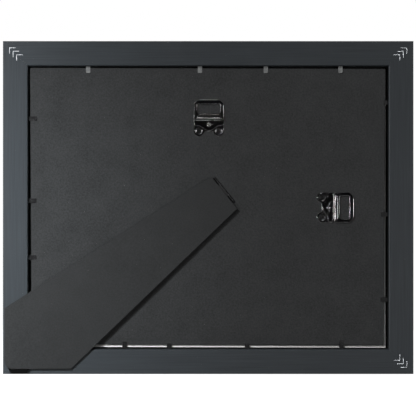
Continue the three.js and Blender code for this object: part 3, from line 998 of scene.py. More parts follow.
RAIL_COLOUR = (0.038, 0.0443, 0.0503)
LYING_RAIL = SatinLacquer("satin lacquer, lying rail", Slot.MOULDING, RAIL_COLOUR, 0.36, 0.06)
UPRIGHT_RAIL = SatinLacquer(
    "satin lacquer, upright rail", Slot.MOULDING, RAIL_COLOUR, 0.36, 0.06, upright=True
)
# The rebate's coat is much darker than the rails' lacquer: painted shade for the gap between the rails and
# the board.
SHADE_PAINTED_REBATE_COAT = Stock("thin matt rebate coat", Slot.MOULDING, (0.006, 0.006, 0.006), 0.9, 0.04, contrast=0.5)
BACKING_PAPER = CoveredBoard(
    "grained black paper",
    Slot.BACKING,
    (0.033, 0.0342, 0.0352),
    0.6,
    0.04,
    grain=1.6,
    contrast=1.5,
    depth=0.12,
)
LEG_PAPER = CoveredBoard(
    "smooth black paper", Slot.LEG, (0.0273, 0.0283, 0.029), 0.55, 0.04, grain=1.4, contrast=1, depth=0.06
)
BLACK_LACQUER = GlossLacquer(
    "glossy black lacquer", Slot.BLACK_STEEL, (0.003, 0.003, 0.0034), 0.07, 0.35, coat=0.3
)
DULL_LACQUER = GlossLacquer(
    "dull black lacquer", Slot.BLACK_STEEL, (0.004, 0.004, 0.0045), 0.14, 0.08, coat=0
)
WORN_LACQUER = GlossLacquer(
    "worn black lacquer", Slot.BLACK_STEEL, (0.0065, 0.0065, 0.007), 0.3, 0.14, coat=0
)
BLACK_POINT = DrawnSteel("blackened point steel", Slot.POINT_STEEL, (0.005, 0.005, 0.0055), 0.6, 0.05, 0)
# The lighter point steel is a painted highlight, for the points whose tilted tips catch the light.
PAINTED_HIGHLIGHT_POINT = DrawnSteel("worn point steel", Slot.POINT_STEEL, (0.1, 0.104, 0.104), 0.5, 0.2, 0.1)
NAIL_STEEL = DrawnSteel("dull nail steel", Slot.PLAIN_STEEL, (0.22, 0.23, 0.24), 0.5)
PIN_STEEL = DrawnSteel("bright pin steel", Slot.PLAIN_STEEL, (0.16, 0.16, 0.165), 0.3)
RUBBER = Stock("black rubber", Slot.RUBBER, (0.003, 0.003, 0.003), 0.8, 0.02, grain=0.2, contrast=0.5)
MAT_BOARD = Stock("off-white mat board", Slot.MAT, (0.9, 0.89, 0.87), 0.9, 0.2, grain=0.35)
SHEET_PAPER = Stock("laid paper", Slot.PAPER, (0.88, 0.85, 0.76), 0.85, 0.2, grain=0.9, contrast=0.16)
CLEAR_GLASS = Glass("clear glass", Slot.GLAZING, (1, 1, 1), 0.01)


def settle(piece: Piece, finish: Finish, body: str, *nodes: str) -> Piece:
    """Finishes a piece, lets it ride on a body and lets it stand for nodes.

    Args:
        piece: The piece, in place.
        finish: Its finish.
        body: The body that it moves with.
        nodes: The nodes that it stands for.

    Returns:
        The piece.
    """
    finish.cover(piece)
    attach(piece, body)
    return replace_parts(piece, *nodes)


# Sub-assemblies


@dataclass
class Moulding:
    """The four mitred rails and the corner nails that hold them.

    Widths are from the outer edge inwards, and heights from the frame's middle out of its back.
    """

    width: float = 25
    lip_width: float = 6.5
    lip_thickness: float = 7.5
    sight_edge: float = 3.5
    face_flat: float = 17
    front_round: float = 2.6
    outer_round: float = 0.8
    inner_round: float = 1.8
    glue_line: float = 0.02
    nail_first: float = 6.7
    nail_pitch: float = 3.5
    nail_count: int = 3
    nail_arm: float = 6
    nail_thickness: float = 0.5
    nail_depth: float = 8
    nail_proud: float = 0.05
    nail_rim: float = 0.08
    rear: float = -FRAME_LOW.y / MM
    front: float = -FRAME_HIGH.y / MM

    def build(self) -> list[Piece]:
        """Builds the rails and their nails.

        Returns:
            The pieces.
        """
        pieces = []
        for side in Side:
            pieces.append(self.rail(side))
            for i in range(self.nail_count):
                node = f"corner_nail_{side.corner}_{i + 1}"
                pieces.append(self.nail(side, node, self.nail_first + i * self.nail_pitch))
        return pieces

    def section(self) -> list[Point]:
        """Draws the moulding's section in width from the outer edge and height over its middle.

        Returns:
            The section's outline.
        """
        lip = self.front + self.lip_thickness
        sight = self.width + self.lip_width
        step = lip - self.sight_edge
        cove = curve([(sight, step), (self.width, step), (self.face_flat, self.front)], steps=14)
        outer = (self.outer_round, self.rear - self.outer_round)
        inner = (self.width - self.inner_round, self.rear - self.inner_round)
        front = (self.front_round, self.front + self.front_round)
        return [
            *arc(outer, self.outer_round, 180, 90, steps=4),
            *arc(inner, self.inner_round, 90, 0),
            (self.width, BOARD_FACE),
            (self.width, lip),
            (sight, lip),
            *cove,
            *arc(front, self.front_round, 270, 180),
        ]

    def rail(self, side: Side) -> Piece:
        """Builds a rail with mitred ends.

        Args:
            side: The rail's side.

        Returns:
            The rail.
        """
        half = side_length(side) / 2 - self.glue_line / math.sqrt(2)
        section = self.section()
        ends = [[(way * (half - w), w, z) for w, z in section] for way in (-1, 1)]
        piece = as_piece(f"{side.word}_rail", lofted(ends), side_plane(side))
        finish = UPRIGHT_RAIL if side in (Side.LEFT, Side.RIGHT) else LYING_RAIL
        settle(piece, finish, "frame", f"rail_{side.word}")
        piece.data.materials.append(SHADE_PAINTED_REBATE_COAT.material())
        # The rebate wall below the board and the back of the lip take the darker rebate coat, which paints
        # the shade in the gap.
        wall = section.index((self.width, self.front + self.lip_thickness))
        for face in (wall, wall + 1):
            piece.data.polygons[face].material_index = 1
        return piece

    def nail(self, side: Side, node: str, place: float) -> Piece:
        """Builds a corner nail, one arm in each of the rails that meet.

        Args:
            side: The side at whose far end it is.
            node: The node that it stands for.
            place: How far its bend is from both outer edges.

        Returns:
            The nail.
        """
        half = self.nail_thickness / 2
        x = side_length(side) / 2 - place
        outline = [
            (x + half, place - half),
            (x + half, place + self.nail_arm),
            (x - half, place + self.nail_arm),
            (x - half, place + half),
            (x - self.nail_arm, place + half),
            (x - self.nail_arm, place - half),
        ]
        span = (self.rear - self.nail_depth, self.rear + self.nail_proud)
        body = cut_plate(outline, span, self.nail_rim)
        piece = as_piece(node.replace("corner_nail", "nail"), body, side_plane(side))
        return settle(piece, NAIL_STEEL, "frame", node)


@dataclass
class Contents:
    """What lies in the rebate: the glass, the window mat, the sheet and the backing board.

    The mat's and the board's corners are where they lie after they have slid down and turned a little.
    """

    window: Point = (273, 209.5)
    mat: Corners = ((-176.2, 26.8), (177.4, 25.9), (177.7, 303.55), (-176.2, 304.45))
    board: Corners = ((-176.7, 29.3), (175.4, 28.4), (177.4, 305.05), (-178.3, 306.2))
    pane_rim: float = 0.3
    sheet_rim: float = 0.05
    board_rim: float = 0.7
    edge_rise: float = 1.4
    edge_lean: float = 0.004
    edge_gap: float = 1.1
    edge_rim: float = 0.15

    def build(self) -> list[Piece]:
        """Builds the layers from the front to the back.

        Returns:
            The pieces.
        """
        low, high = box_of(["certificate_sheet"], BACK)
        sheet = ((low.x, low.y), (high.x, low.y), (high.x, high.y), (low.x, high.y))
        return [
            self.layer("glass_pane", "glazing", CLEAR_GLASS, self.pane_rim, self.mat),
            self.window_mat(),
            self.layer("blank_sheet", "certificate_sheet", SHEET_PAPER, self.sheet_rim, sheet),
            self.layer("backing", "backing_board", BACKING_PAPER, self.board_rim, self.board),
        ]

    def layer(self, name: str, node: str, finish: Finish, rim: float, corners: Corners) -> Piece:
        """Builds a plain layer.

        Args:
            name: The piece's name.
            node: The node that it stands for and is as thick as.
            finish: Its finish.
            rim: The radius of its rims.
            corners: Its corners in the frame's X and Z, in millimetres.

        Returns:
            The layer.
        """
        low, high = box_of([node], BACK)
        body = cut_plate(rounded(corners, 2 * rim), (low.z, high.z), rim)
        return settle(as_piece(name, body, BACK), finish, "frame", node)

    def window_mat(self) -> Piece:
        """Builds the mat, its window bevelled at 45 degrees and wider at the front.

        Returns:
            The mat.
        """
        low, high = box_of(["mat_board"], BACK)
        middle = (low + high) / 2
        grown = 2 * (high.z - low.z)
        rings = [(self.mat, low.z), (self.mat, high.z)]
        ways = ((-1, -1), (1, -1), (1, 1), (-1, 1))
        for more, z in ((0, high.z), (grown, low.z)):
            x, y = ((size + more) / 2 for size in self.window)
            rings.append(([(middle.x + a * x, middle.y + b * y) for a, b in ways], z))
        body = bmesh.new()
        rows = [[body.verts.new((x, y, z)) for x, y in corners] for corners, z in rings]
        for row, after in zip(rows, [*rows[1:], rows[0]]):
            for i in range(len(row)):
                body.faces.new((row[i - 1], row[i], after[i], after[i - 1]))
        piece = as_piece("window_mat", joined([body, self.turned_up_edge(high.z)]), BACK)
        return settle(piece, MAT_BOARD, "frame", "mat_board")

    def turned_up_edge(self, back: float) -> Body:
        """Builds the mat's lower edge, which is bent up below the board and shows as a white line.

        Args:
            back: The height of the mat's back.

        Returns:
            The strip below the board, which stands higher towards the left.
        """
        left, right = ((x, y - self.edge_gap) for x, y in self.board[:2])
        rim = self.edge_rim
        outline = [self.mat[0], (self.mat[1][0] - rim, self.mat[1][1]), right, left]
        body = cut_plate(outline, (back - rim, back + self.edge_rise), rim)
        for vert in body.verts:
            if vert.co.z > back:
                vert.co.z -= self.edge_lean * vert.co.x
        return body


@dataclass
class FlexiblePoints:
    """The flat points that are driven into the rails and bend up to free the board.

    Their sizes are along the point, from where it leaves the rail.
    """

    counts: Mapping[Side, int] = field(
        default_factory=lambda: {Side.TOP: 4, Side.BOTTOM: 4, Side.LEFT: 3, Side.RIGHT: 3}
    )
    tip_corner: float = 0.6
    foot_share: float = 0.15
    rim: float = 0.12
    bend_start: float = -0.2
    bend_end: float = 0.5
    bend_steps: int = 6
    blade_steps: int = 3
    curls: Mapping[Side, float] = field(
        default_factory=lambda: {Side.TOP: 0.7, Side.BOTTOM: 0.1, Side.LEFT: 0.1, Side.RIGHT: 0.25}
    )
    # On the worn sides the points get the lighter steel, a painted highlight on their tilted tips, and are
    # shorter by wear.
    worn: tuple[Side, ...] = (Side.TOP,)
    wear: float = 1.6

    def build(self) -> list[Piece]:
        """Builds every point.

        Returns:
            The pieces.
        """
        return [self.point(side, i + 1) for side, count in self.counts.items() for i in range(count)]

    def point(self, side: Side, number: int) -> Piece:
        """Builds a point, whose tip curls up from where it leaves the rail.

        Args:
            side: The side that it is driven into.
            number: Its number on that side.

        Returns:
            The point.
        """
        node = f"point_{side.word}_{number}"
        plane = hinge_plane(f"{node}_bend")
        low, high = box_of([node], plane)
        if side in self.worn:
            high.y -= self.wear
        half = (high.x - low.x) / 2
        curl = self.curls[side]
        body = lofted([self.ring(y, half, low, high, curl) for y in self.stations(half, low.y, high.y)])
        piece = as_piece(f"{side.word}_point_{number}", body, plane)
        # Points on the worn sides take the lighter steel, a painted highlight.
        finish = PAINTED_HIGHLIGHT_POINT if side in self.worn else BLACK_POINT
        finish.cover(piece)
        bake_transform(piece)
        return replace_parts(piece, node)

    def stations(self, half: float, foot: float, tip: float) -> list[float]:
        """Places the rings along a point, close together where it bends.

        Args:
            half: Half of the point's width.
            foot: Where its shank ends.
            tip: Where its tip ends.

        Returns:
            The rings' places.
        """
        bent = self.bend_end - self.bend_start
        straight = tip - self.tip_corner - self.bend_end
        bend = [self.bend_start + bent * i / self.bend_steps for i in range(self.bend_steps + 1)]
        blade = [self.bend_end + straight * (i + 1) / self.blade_steps for i in range(self.blade_steps)]
        return [foot, foot + half, *bend, *blade, tip - self.tip_corner / 2, tip]

    def ring(
        self, y: float, half: float, low: Vector, high: Vector, curl: float
    ) -> list[tuple[float, float, float]]:
        """Draws the point's section at a station.

        Args:
            y: The station.
            half: Half of the point's width.
            low: The lowest corner of the point's box.
            high: The highest corner of the point's box.
            curl: How far its tip stands up.

        Returns:
            The section's corners.
        """
        shank = max(self.foot_share, min(1, (y - low.y) / half))
        x = half * shank - max(0, y - (high.y - self.tip_corner))
        lift = curl * (max(y, 0) / high.y) ** 2
        corners = [(x, low.z + self.rim), (x, high.z - self.rim), (x - self.rim, high.z)]
        right = [(x - self.rim, low.z), *corners]
        left = [(-across, z) for across, z in reversed(right)]
        return [(across, y, z + lift) for across, z in [*right, *left]]


@dataclass
class RingHanger:
    """A toothed ring that turns on a doubled strap, held by two eyelets and a rivet.

    Its sizes are in its own plane: the ring reaches up Y from the pivot, and the strap hangs below.
    """

    way: Way
    reach: float = 18.6
    half_width: float = 15
    bar: float = 3.25
    ring_thickness: float = 1
    ring_rim: float = 0.36
    ring_rim_breadth: float = 1.25
    corner_side: float = 5.1
    corner_end: float = 4.2
    corner_round: float = 1.4
    tooth_root: float = 14.7
    tooth_depth: float = 1.3
    tooth_count: int = 7
    crossbar: Point = (2, 4.3)
    gusset: float = 3
    heel: float = 1.2
    wire: float = 0.85
    wire_hold: float = 0.5
    strap: float = 0.7
    strap_rim: float = 0.3
    strap_rim_breadth: float = 1.5
    seat: float = 0.1
    sunk_share: float = 0.1
    hair: float = 0.02
    knuckle: Point = (5.5, 11.4)
    knuckle_radius: float = 1.65
    knuckle_rim: float = 0.2
    roll_end: float = 175
    roll_landing: float = -2.4
    roll_bulge: float = 0.1
    plate_top: float = -1.75
    lobe: Point = (9.8, -13)
    lobe_radius: float = 5.3
    lobe_end: float = -150
    arch: Point = (3.4, -13.5)
    arch_flare: float = 1
    tail_half: float = 14.7
    tail_shoulder: tuple[float, float, float] = (-5.1, -8, -7.6)
    tail_tip: tuple[Point, Point, Point] = ((6, -10), (3.4, -12.3), (0, -12.9))
    notch: float = -5.9
    notch_shares: Point = (0.35, 0.55)
    tongue: float = -3.5
    eyelet_radius: float = 3.7
    eyelet_height: float = 0.7
    eyelet_slope: tuple[Point, Point] = ((1.25, 0.42), (1.7, 0.62))
    eyelet_well: tuple[Point, Point, Point] = ((1.25, 0.5), (1, 0.2), (0, 0.15))
    eyelet_shank: float = 1.6
    rivet: float = -6.7
    rivet_radius: float = 1.9
    rivet_height: float = 0.6
    rivet_edge: float = 0.12
    rivet_shank: float = 1
    shank_length: float = 2.4

    @property
    def plane(self) -> Matrix:
        """The hanger's plane, whose X is the ring's pivot."""
        return hinge_plane(f"hanger_{self.way.value}_swing")

    def build(self) -> list[Piece]:
        """Builds the strap, its fixings and the ring.

        Returns:
            The pieces.
        """
        pieces = [
            self.piece("strap", self.strap_body(), "frame", "plate"),
            self.piece("ring", self.ring_body(), f"ring_{self.way.value}", "ring"),
            self.piece("rivet", self.rivet_body(), "frame", "rivet"),
        ]
        for i, way in enumerate((-1, 1)):
            body = moved(self.eyelet_body(), (way * self.lobe[0], self.lobe[1], self.level(0)))
            pieces.append(self.piece(f"eyelet_{i + 1}", body, "frame", f"eyelet_{i + 1}"))
        return pieces

    def piece(self, word: str, body: Body, rides: str, node: str) -> Piece:
        """Makes one of the hanger's bodies into a piece.

        Args:
            word: The piece's word in its name.
            body: Its body.
            rides: The body of the frame that it moves with.
            node: The word of the node that it stands for.

        Returns:
            The piece.
        """
        name = self.way.value
        piece = as_piece(f"{name}_{word}", body, self.plane)
        finish = DULL_LACQUER if "eyelet" in word else BLACK_LACQUER
        return settle(piece, finish, rides, f"hanger_{name}_{node}")

    def level(self, layers: float) -> float:
        """Gives the height over the pivot at which a number of the strap's layers ends."""
        return BOARD_FACE + self.plane.translation.y / MM + self.seat + layers * self.strap

    def strap_outline(self) -> list[Point]:
        """Draws the lower layer, which ends in two round lobes with an arch between them.

        Returns:
            The outline.
        """
        round_end = arc(self.lobe, self.lobe_radius, 0, self.lobe_end, steps=20)
        flare = (self.arch[0] + self.arch_flare, self.arch[1])
        inside = curve([round_end[-1], flare, self.arch], steps=4)
        return mirrored([(self.lobe[0] + self.lobe_radius, self.plate_top), *round_end, *inside[1:]])

    def tail_outline(self) -> list[Point]:
        """Draws the upper layer, notched between the knuckles, which ends in a blunt V.

        Returns:
            The outline.
        """
        inner, _ = self.knuckle
        dip, valley = (share * inner for share in self.notch_shares)
        notch = curve([(0, self.tongue), (dip, self.notch), (valley, self.notch)], steps=5)
        rise = curve([(valley, self.notch), (inner, self.notch), (inner, self.tongue)], steps=5)
        shoulder = zip((self.tail_half, self.tail_half, self.lobe[0]), self.tail_shoulder)
        return mirrored([
            *notch,
            *rise[1:],
            (inner, self.plate_top),
            (self.tail_half, self.plate_top),
            *curve(list(shoulder)),
            *curve(self.tail_tip, steps=6),
        ])

    def strap_body(self) -> Body:
        """Builds the strap: two layers and the knuckles rolled between them.

        Returns:
            The strap.
        """
        rim, breadth = self.strap_rim, self.strap_rim_breadth
        upper = (self.level(1 - self.sunk_share), self.level(2))
        bodies = [
            cut_plate(self.strap_outline(), (self.level(0), self.level(1)), rim, breadth=breadth),
            cut_plate(self.tail_outline(), upper, rim, breadth=breadth),
        ]
        inner, outer = self.knuckle
        for span in ((-outer, -inner), (inner, outer)):
            bodies.append(along_x(cut_plate(self.roll_outline(), span, self.knuckle_rim)))
        return joined(bodies)

    def roll_outline(self) -> list[Point]:
        """Draws the roll from the side, round the pivot and down on to the strap.

        Returns:
            The outline.
        """
        crest = arc((0, 0), self.knuckle_radius, -90, self.roll_end, steps=20)
        landing = (self.roll_landing, self.level(2) + self.hair)
        fall = curve([crest[-1], (crest[-1][0] - self.roll_bulge, landing[1]), landing], steps=6)
        return [(landing[0], self.level(0)), *crest, *fall[1:]]

    def opening(self) -> list[Point]:
        """Draws the ring's opening, toothed at its far edge, with gussets in its near corners.

        Returns:
            The opening's outline.
        """
        half = self.half_width - self.bar
        near = self.crossbar[1]
        pitch = 2 * half / self.tooth_count
        teeth = [
            (half - i * pitch / 2, self.tooth_root if i % 2 else self.tooth_root - self.tooth_depth)
            for i in range(2 * self.tooth_count + 1)
        ]
        left = curve([(-half, near + self.gusset), (-half, near), (-half + self.gusset, near)], steps=4)
        right = curve([(half - self.gusset, near), (half, near), (half, near + self.gusset)], steps=4)
        return [*teeth, *left, *right]

    def ring_body(self) -> Body:
        """Builds the ring and its pivot.

        Returns:
            The ring.
        """
        half = self.half_width
        inner = half - self.bar
        outline = mirrored([
            (half - self.corner_side, self.reach),
            (half, self.reach - self.corner_end),
            (half, -self.heel),
            (inner, -self.heel),
            (inner, self.crossbar[0]),
        ])
        flat = cut_plate(
            rounded(outline, self.corner_round),
            (-self.ring_thickness / 2, self.ring_thickness / 2),
            self.ring_rim,
            holes=[self.opening()],
            breadth=self.ring_rim_breadth,
            steps=5,
        )
        end = inner + self.wire_hold
        return joined([flat, rod(self.wire, (-end, end))])

    def eyelet_body(self) -> Body:
        """Builds an eyelet: a rolled flange round a dimple, on a shank.

        Returns:
            The eyelet, whose seat is on the strap.
        """
        seat = self.strap + self.hair
        roll = self.eyelet_height / 2
        outer = arc((self.eyelet_radius - roll, seat + roll), roll, -90, 90, steps=6)
        slope = [(self.eyelet_radius - inset, seat + rise) for inset, rise in self.eyelet_slope]
        well = [(radius, seat + rise) for radius, rise in self.eyelet_well]
        return turned([*self.shank(self.eyelet_shank, seat), *outer, *slope, *well])

    def shank(self, radius: float, seat: float) -> list[Point]:
        """Draws the profile of the shank that an eyelet or rivet has under its head."""
        foot = seat - self.shank_length
        return [(0, foot), (radius, foot), (radius, seat)]

    def rivet_body(self) -> Body:
        """Builds the rivet, with a domed head.

        Returns:
            The rivet.
        """
        seat = self.level(2)
        half = self.rivet_radius
        top = seat + self.rivet_height
        dome = curve([(half, seat + self.rivet_edge), (half, top), (0, top)], steps=7)
        body = turned([*self.shank(self.rivet_shank, seat), (half, seat), *dome])
        return moved(body, (0, self.rivet, 0))


@dataclass
class EaselHinge:
    """The leg's hinge: two leaves, their pin and the tacks that hold them.

    Its sizes are in the plane of its joint: the pin runs along X, and the leaves reach along Y.
    """

    shift: float = 2.9
    length: float = 30.7
    end_knuckle: float = 8
    gap: float = 0.3
    barrel: float = 1.3
    bore: float = 0.8
    pin: float = 0.72
    leaf: float = 0.5
    leaf_length: float = 18
    leaf_round: float = 1.5
    leaf_gap: float = 0.35
    neck_overlap: float = 0.5
    tack_spacing: float = 18
    tack_distance: float = 11
    tack_radius: float = 2
    tack_head: float = 0.4
    tack_edge: float = 0.05
    tack_shank: float = 0.8
    tack_length: float = 2.4
    rim: float = 0.12

    @property
    def span(self) -> Point:
        """Where the barrel starts and ends."""
        return (self.shift - self.length / 2, self.shift + self.length / 2)

    def build(self, swung: Matrix) -> list[Piece]:
        """Builds the leaves, the pin and the tacks.

        Args:
            swung: The plane of the leg, which leans out a little.

        Returns:
            The pieces.
        """
        plane = hinge_plane("easel_leg_swing")
        start, end = self.span
        low, high = start + self.end_knuckle, end - self.end_knuckle
        fixed_body = self.leaf_body([(start, low), (high, end)], -self.barrel)
        swung_body = self.leaf_body([(low + self.gap, high - self.gap)], self.barrel - self.leaf)
        pieces = [
            settle(as_piece("fixed_leaf", fixed_body, plane), WORN_LACQUER, "frame", "hinge_backing_leaf"),
            settle(as_piece("leg_leaf", swung_body, swung), WORN_LACQUER, "leg", "hinge_leg_leaf"),
            settle(as_piece("pin", rod(self.pin, (start, end)), plane), PIN_STEEL, "frame", "hinge_pin"),
        ]
        seat = self.barrel - self.leaf
        for i, way in enumerate((-1, 1)):
            place = (self.shift + way * self.tack_spacing / 2, self.tack_distance)
            pieces.append(self.tack(f"backing_tack_{i + 1}", plane, "frame", (*place, -seat), 1))
            pieces.append(self.tack(f"leg_tack_{i + 1}", swung, "leg", (*place, seat), -1))
        return pieces

    def leaf_body(self, spans: Sequence[Point], low: float) -> Body:
        """Builds a leaf with its knuckles.

        Args:
            spans: Where its knuckles start and end.
            low: The height of its lower face.

        Returns:
            The leaf.
        """
        start, end = self.span
        near = self.barrel + self.leaf_gap
        corners = [(start, near), (end, near), (end, self.leaf_length), (start, self.leaf_length)]
        bodies = [cut_plate(rounded(corners, self.leaf_round), (low, low + self.leaf), self.rim)]
        reach = near + self.neck_overlap
        for left, right in spans:
            neck = [(left, 0), (right, 0), (right, reach), (left, reach)]
            bodies.append(cut_plate(neck, (low, low + self.leaf), self.rim))
            bodies.append(tube((self.bore, self.barrel), (left, right), self.rim))
        return joined(bodies)

    def tack(
        self, name: str, plane: Matrix, rides: str, seat: tuple[float, float, float], up: int
    ) -> Piece:
        """Builds a tack.

        Args:
            name: Its name, which ends the name of its node.
            plane: The plane that it is in.
            rides: The body that it moves with.
            seat: Where its head's underside is.
            up: 1 if its head faces out of the back, or else -1.

        Returns:
            The tack.
        """
        radius, shank = self.tack_radius, self.tack_shank
        head = curve([(radius, self.tack_edge), (radius, self.tack_head), (0, self.tack_head)], steps=6)
        profile = [(0, -self.tack_length), (shank, -self.tack_length), (shank, 0), (radius, 0), *head]
        body = turned([(across, up * height) for across, height in profile], steps=24)
        return settle(as_piece(name, moved(body, seat), plane), PIN_STEEL, rides, f"hinge_{name}")


@dataclass
class EaselLeg:
    """The leg's board and the bumper under its foot.

    Its upper end is placed in the plane of its hinge, and its foot from the frame's lower left corner.
    """

    end_width: float = 41
    thickness: float = 3
    inner: float = 1.4
    start: float = 1.65
    side_inset: float = 1.8
    foot_rise: float = 5.2
    heel_height: float = 66
    heel_length: float = 68
    corner_radius: float = 8
    rim: float = 0.45
    bumper_inset: float = 3.7
    bumper_width: float = 20.9
    bumper_taper: float = 2.7
    bumper_rise: float = 0.9
    bumper_round: float = 0.9
    bumper_rim: float = 0.4

    def build(self) -> list[Piece]:
        """Builds the leg, its bumper and its hinge.

        Returns:
            The pieces.
        """
        flat = hinge_plane("easel_leg_swing")
        leaning = self.leaning(flat)
        span = (self.inner, self.inner + self.thickness)
        board = as_piece("leg_board", cut_plate(self.outline(flat), span, self.rim), leaning)
        block = cut_plate(self.bumper_outline(flat), span, self.bumper_rim)
        bumper = as_piece("leg_bumper", block, leaning)
        return [
            settle(board, LEG_PAPER, "leg", "easel_leg"),
            settle(bumper, RUBBER, "leg", "easel_leg_bumper"),
            *EaselHinge().build(leaning),
        ]

    def leaning(self, flat: Matrix) -> Matrix:
        """Gives the leg's plane, which leans out so far that its foot lies on the rails.

        Args:
            flat: The plane of its hinge.

        Returns:
            The plane's matrix.
        """
        farthest = max(y for _, y in self.outline(flat))
        outermost = box_of(["easel_leg"], BACK)[1].z + flat.translation.y / MM
        lean = math.asin((outermost - self.inner - self.thickness) / farthest)
        return flat @ Matrix.Rotation(lean, 4, "X")

    def outline(self, flat: Matrix) -> list[Point]:
        """Draws the leg's board.

        Args:
            flat: The plane of its hinge.

        Returns:
            The outline.
        """
        left = FRAME_LOW.x / MM
        edge = left + self.side_inset
        corner = (edge + self.corner_radius, self.foot_rise + self.corner_radius)
        places = [
            (edge, self.heel_height),
            *arc(corner, self.corner_radius, 180, 270, steps=12),
            (left + self.heel_length, self.foot_rise),
        ]
        half = self.end_width / 2
        return [(half, self.start), *(self.on_leg(place, flat) for place in places), (-half, self.start)]

    def bumper_outline(self, flat: Matrix) -> list[Point]:
        """Draws the tapered bumper.

        Args:
            flat: The plane of the leg's hinge.

        Returns:
            The outline.
        """
        left = FRAME_LOW.x / MM + self.side_inset + self.bumper_inset
        right = left + self.bumper_width
        corners = [
            (left, self.foot_rise),
            (left + self.bumper_taper, self.bumper_rise),
            (right - self.bumper_taper, self.bumper_rise),
            (right, self.foot_rise),
        ]
        return rounded([self.on_leg(place, flat) for place in corners], self.bumper_round)

    def on_leg(self, place: Point, flat: Matrix) -> Point:
        """Finds a place on the leg.

        Args:
            place: The place in the frame's X and Z, in millimetres.
            flat: The plane of the leg's hinge.

        Returns:
            The place in the leg's X and Y.
        """
        local = flat.inverted() @ Vector((place[0] * MM, flat.translation.y, place[1] * MM))
        return (local.x, local.y)


# Studio


COOL = (0.92, 0.97, 1)


@dataclass(frozen=True)
class Lamp:
    """A soft oblong lamp that faces the frame."""

    name: str
    place: tuple[float, float, float]
    size: Point
    power: float
    aim: Point = (0, 0.166)
    spread: float = 180
    colour: Colour = (1, 1, 1)
    glint: bool = False

    def hang(self) -> None:
        """Hangs the lamp so that it faces its aim on the frame.

        Its beam is as broad as its spread in degrees. A glint lamp only shows in gloss.
        """
        light = bpy.data.lights.new(self.name, "AREA")
        light.shape = "RECTANGLE"
        light.size, light.size_y = self.size
        light.energy = self.power
        light.spread = math.radians(self.spread)
        light.color = self.colour
        lamp = in_scene(self.name, light)
        lamp.location = self.place
        gaze = Vector((self.aim[0], 0, self.aim[1])) - Vector(self.place)
        lamp.rotation_euler = gaze.to_track_quat("-Z", "Y").to_euler()
        lamp.visible_camera = False
        lamp.visible_diffuse = not self.glint


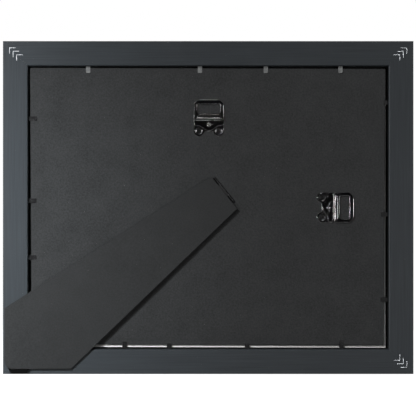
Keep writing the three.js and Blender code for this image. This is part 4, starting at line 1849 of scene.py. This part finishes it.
@dataclass
class Studio:
    """The camera, the lamps, the pale floor and the white surroundings."""

    distance: float = 2.5
    aim: Point = (-0.0002, 0.1658)
    view_width: float = 0.4154
    sensor: float = 36
    world: float = 0.03
    floor_size: float = 1.8
    floor_gap: float = 0.1
    floor_share: float = 0.93
    lamps: tuple[Lamp, ...] = (
        Lamp("key lamp", (-1.6, -3, 1.9), (0.5, 0.5), 84),
        Lamp("inner beam", (-0.4, -0.75, 0.45), (0.15, 0.15), 0.24, (-0.28, 0.12), 40, COOL),
        Lamp("outer beam", (-0.6, -0.9, 0.53), (0.15, 0.15), 0.6, (-0.37, 0.15), 40, COOL),
        Lamp("left glint", (-0.9, -1.4, 0.17), (0.1, 0.4), 42, glint=True),
        Lamp("right glint", (0.9, -1.4, 0.17), (0.1, 0.4), 33, glint=True),
        Lamp("upper glint", (0, -1.4, 1.07), (0.4, 0.1), 12, glint=True),
        Lamp("lower glint", (0, -1.1, 0.04), (0.5, 0.05), 1.5, glint=True),
        Lamp("front lamp", (1.3, 1.3, 1.1), (1.2, 1.2), 10),
    )
    card_size: float = 40
    card_distance: float = 3.4

    def build(self) -> None:
        """Sets up the whole studio."""
        self.set_camera()
        for lamp in self.lamps:
            lamp.hang()
        self.lay_floor()
        self.hang_card()
        self.light_world()
        bpy.context.scene.view_settings.view_transform = "Standard"

    def set_camera(self) -> None:
        """Sets the camera square to the frame's back, at the photograph's scale."""
        lens = bpy.data.cameras.new("camera")
        lens.sensor_width = self.sensor
        lens.lens = self.sensor * self.distance / self.view_width
        lens.clip_start = 0.01
        camera = in_scene("camera", lens)
        camera.location = (self.aim[0], FRAME_LOW.y - self.distance, self.aim[1])
        camera.rotation_euler = (math.pi / 2, 0, 0)
        bpy.context.scene.camera = camera

    def seen(self, wiring: Wiring) -> Socket:
        """Tells the rays that see the surroundings from those that carry light.

        Args:
            wiring: The material's or world's wiring.

        Returns:
            1 for a camera, glossy or transmission ray, and else 0.
        """
        path = wiring.add("ShaderNodeLightPath").outputs
        either = wiring.calc("MAXIMUM", path["Is Camera Ray"], path["Is Glossy Ray"])
        return wiring.calc("MAXIMUM", either, path["Is Transmission Ray"])

    def sheet(self, name: str, size: float, place: tuple[float, float, float]) -> Piece:
        """Makes a lying square sheet.

        Args:
            name: Its name.
            size: The length of its sides.
            place: Where its middle is.

        Returns:
            The sheet, marked as a part of the stage.
        """
        body = bmesh.new()
        bmesh.ops.create_grid(body, x_segments=8, y_segments=8, size=size / 2)
        sheet = in_scene(name, mesh_of(body, name))
        sheet.location = place
        return sheet

    def hang_card(self) -> None:
        """Hangs a black card behind the camera, which only the frame's own gloss mirrors."""
        card = self.sheet("black card", self.card_size, (0, -self.card_distance, self.aim[1]))
        card.rotation_euler = (math.pi / 2, 0, 0)
        card.visible_camera = False
        card.visible_diffuse = False
        card.visible_transmission = False
        card.visible_shadow = False
        material = bpy.data.materials.new("black card")
        wiring = Wiring.of(material)
        tone = GRAIN.on(wiring, size=6, contrast=0.1)["Tone"]
        wiring.feed(wiring.shader, {
            "Base Color": wiring.toned((0.01, 0.01, 0.01), tone),
            "Roughness": 1,
            "Specular IOR Level": 0,
        })
        card.data.materials.append(material)

    def lay_floor(self) -> None:
        """Lays the floor, white where it is seen, with the frame's soft shadow."""
        floor = self.sheet("floor", self.floor_size, (0, 0, FRAME_LOW.z - self.floor_gap * MM))
        material = bpy.data.materials.new("pale floor")
        wiring = Wiring.of(material)
        tone = GRAIN.on(wiring, size=6, contrast=0.03)["Tone"]
        wiring.feed(wiring.shader, {
            "Base Color": wiring.toned((0.3, 0.3, 0.3), tone),
            "Roughness": 0.9,
            "Specular IOR Level": 0.1,
            "Emission Color": (1, 1, 1, 1),
            "Emission Strength": wiring.calc("MULTIPLY", self.seen(wiring), self.floor_share),
        })
        floor.data.materials.append(material)

    def light_world(self) -> None:
        """Makes the surroundings white where they are seen, and dimmer as a light."""
        world = bpy.data.worlds.new("studio")
        wiring = Wiring.of(world)
        strength = wiring.spread(self.seen(wiring), (0, 1), (self.world, 1))
        wiring.feed(wiring.tree.nodes["Background"], {"Color": (1, 1, 1, 1), "Strength": strength})
        bpy.context.scene.world = world


def main() -> None:
    """Builds the whole frame and its studio."""
    logging.basicConfig(level=logging.INFO, format="%(name)s: %(message)s")
    Studio().build()
    assemblies = (
        Moulding(),
        Contents(),
        FlexiblePoints(),
        RingHanger(Way.LANDSCAPE),
        RingHanger(Way.PORTRAIT),
        EaselLeg(),
    )
    for assembly in assemblies:
        for piece in assembly.build():
            LOG.info("%s: %s, %d faces", type(assembly).__name__, piece.name, len(piece.data.polygons))


if __name__ == "__main__":
    main()
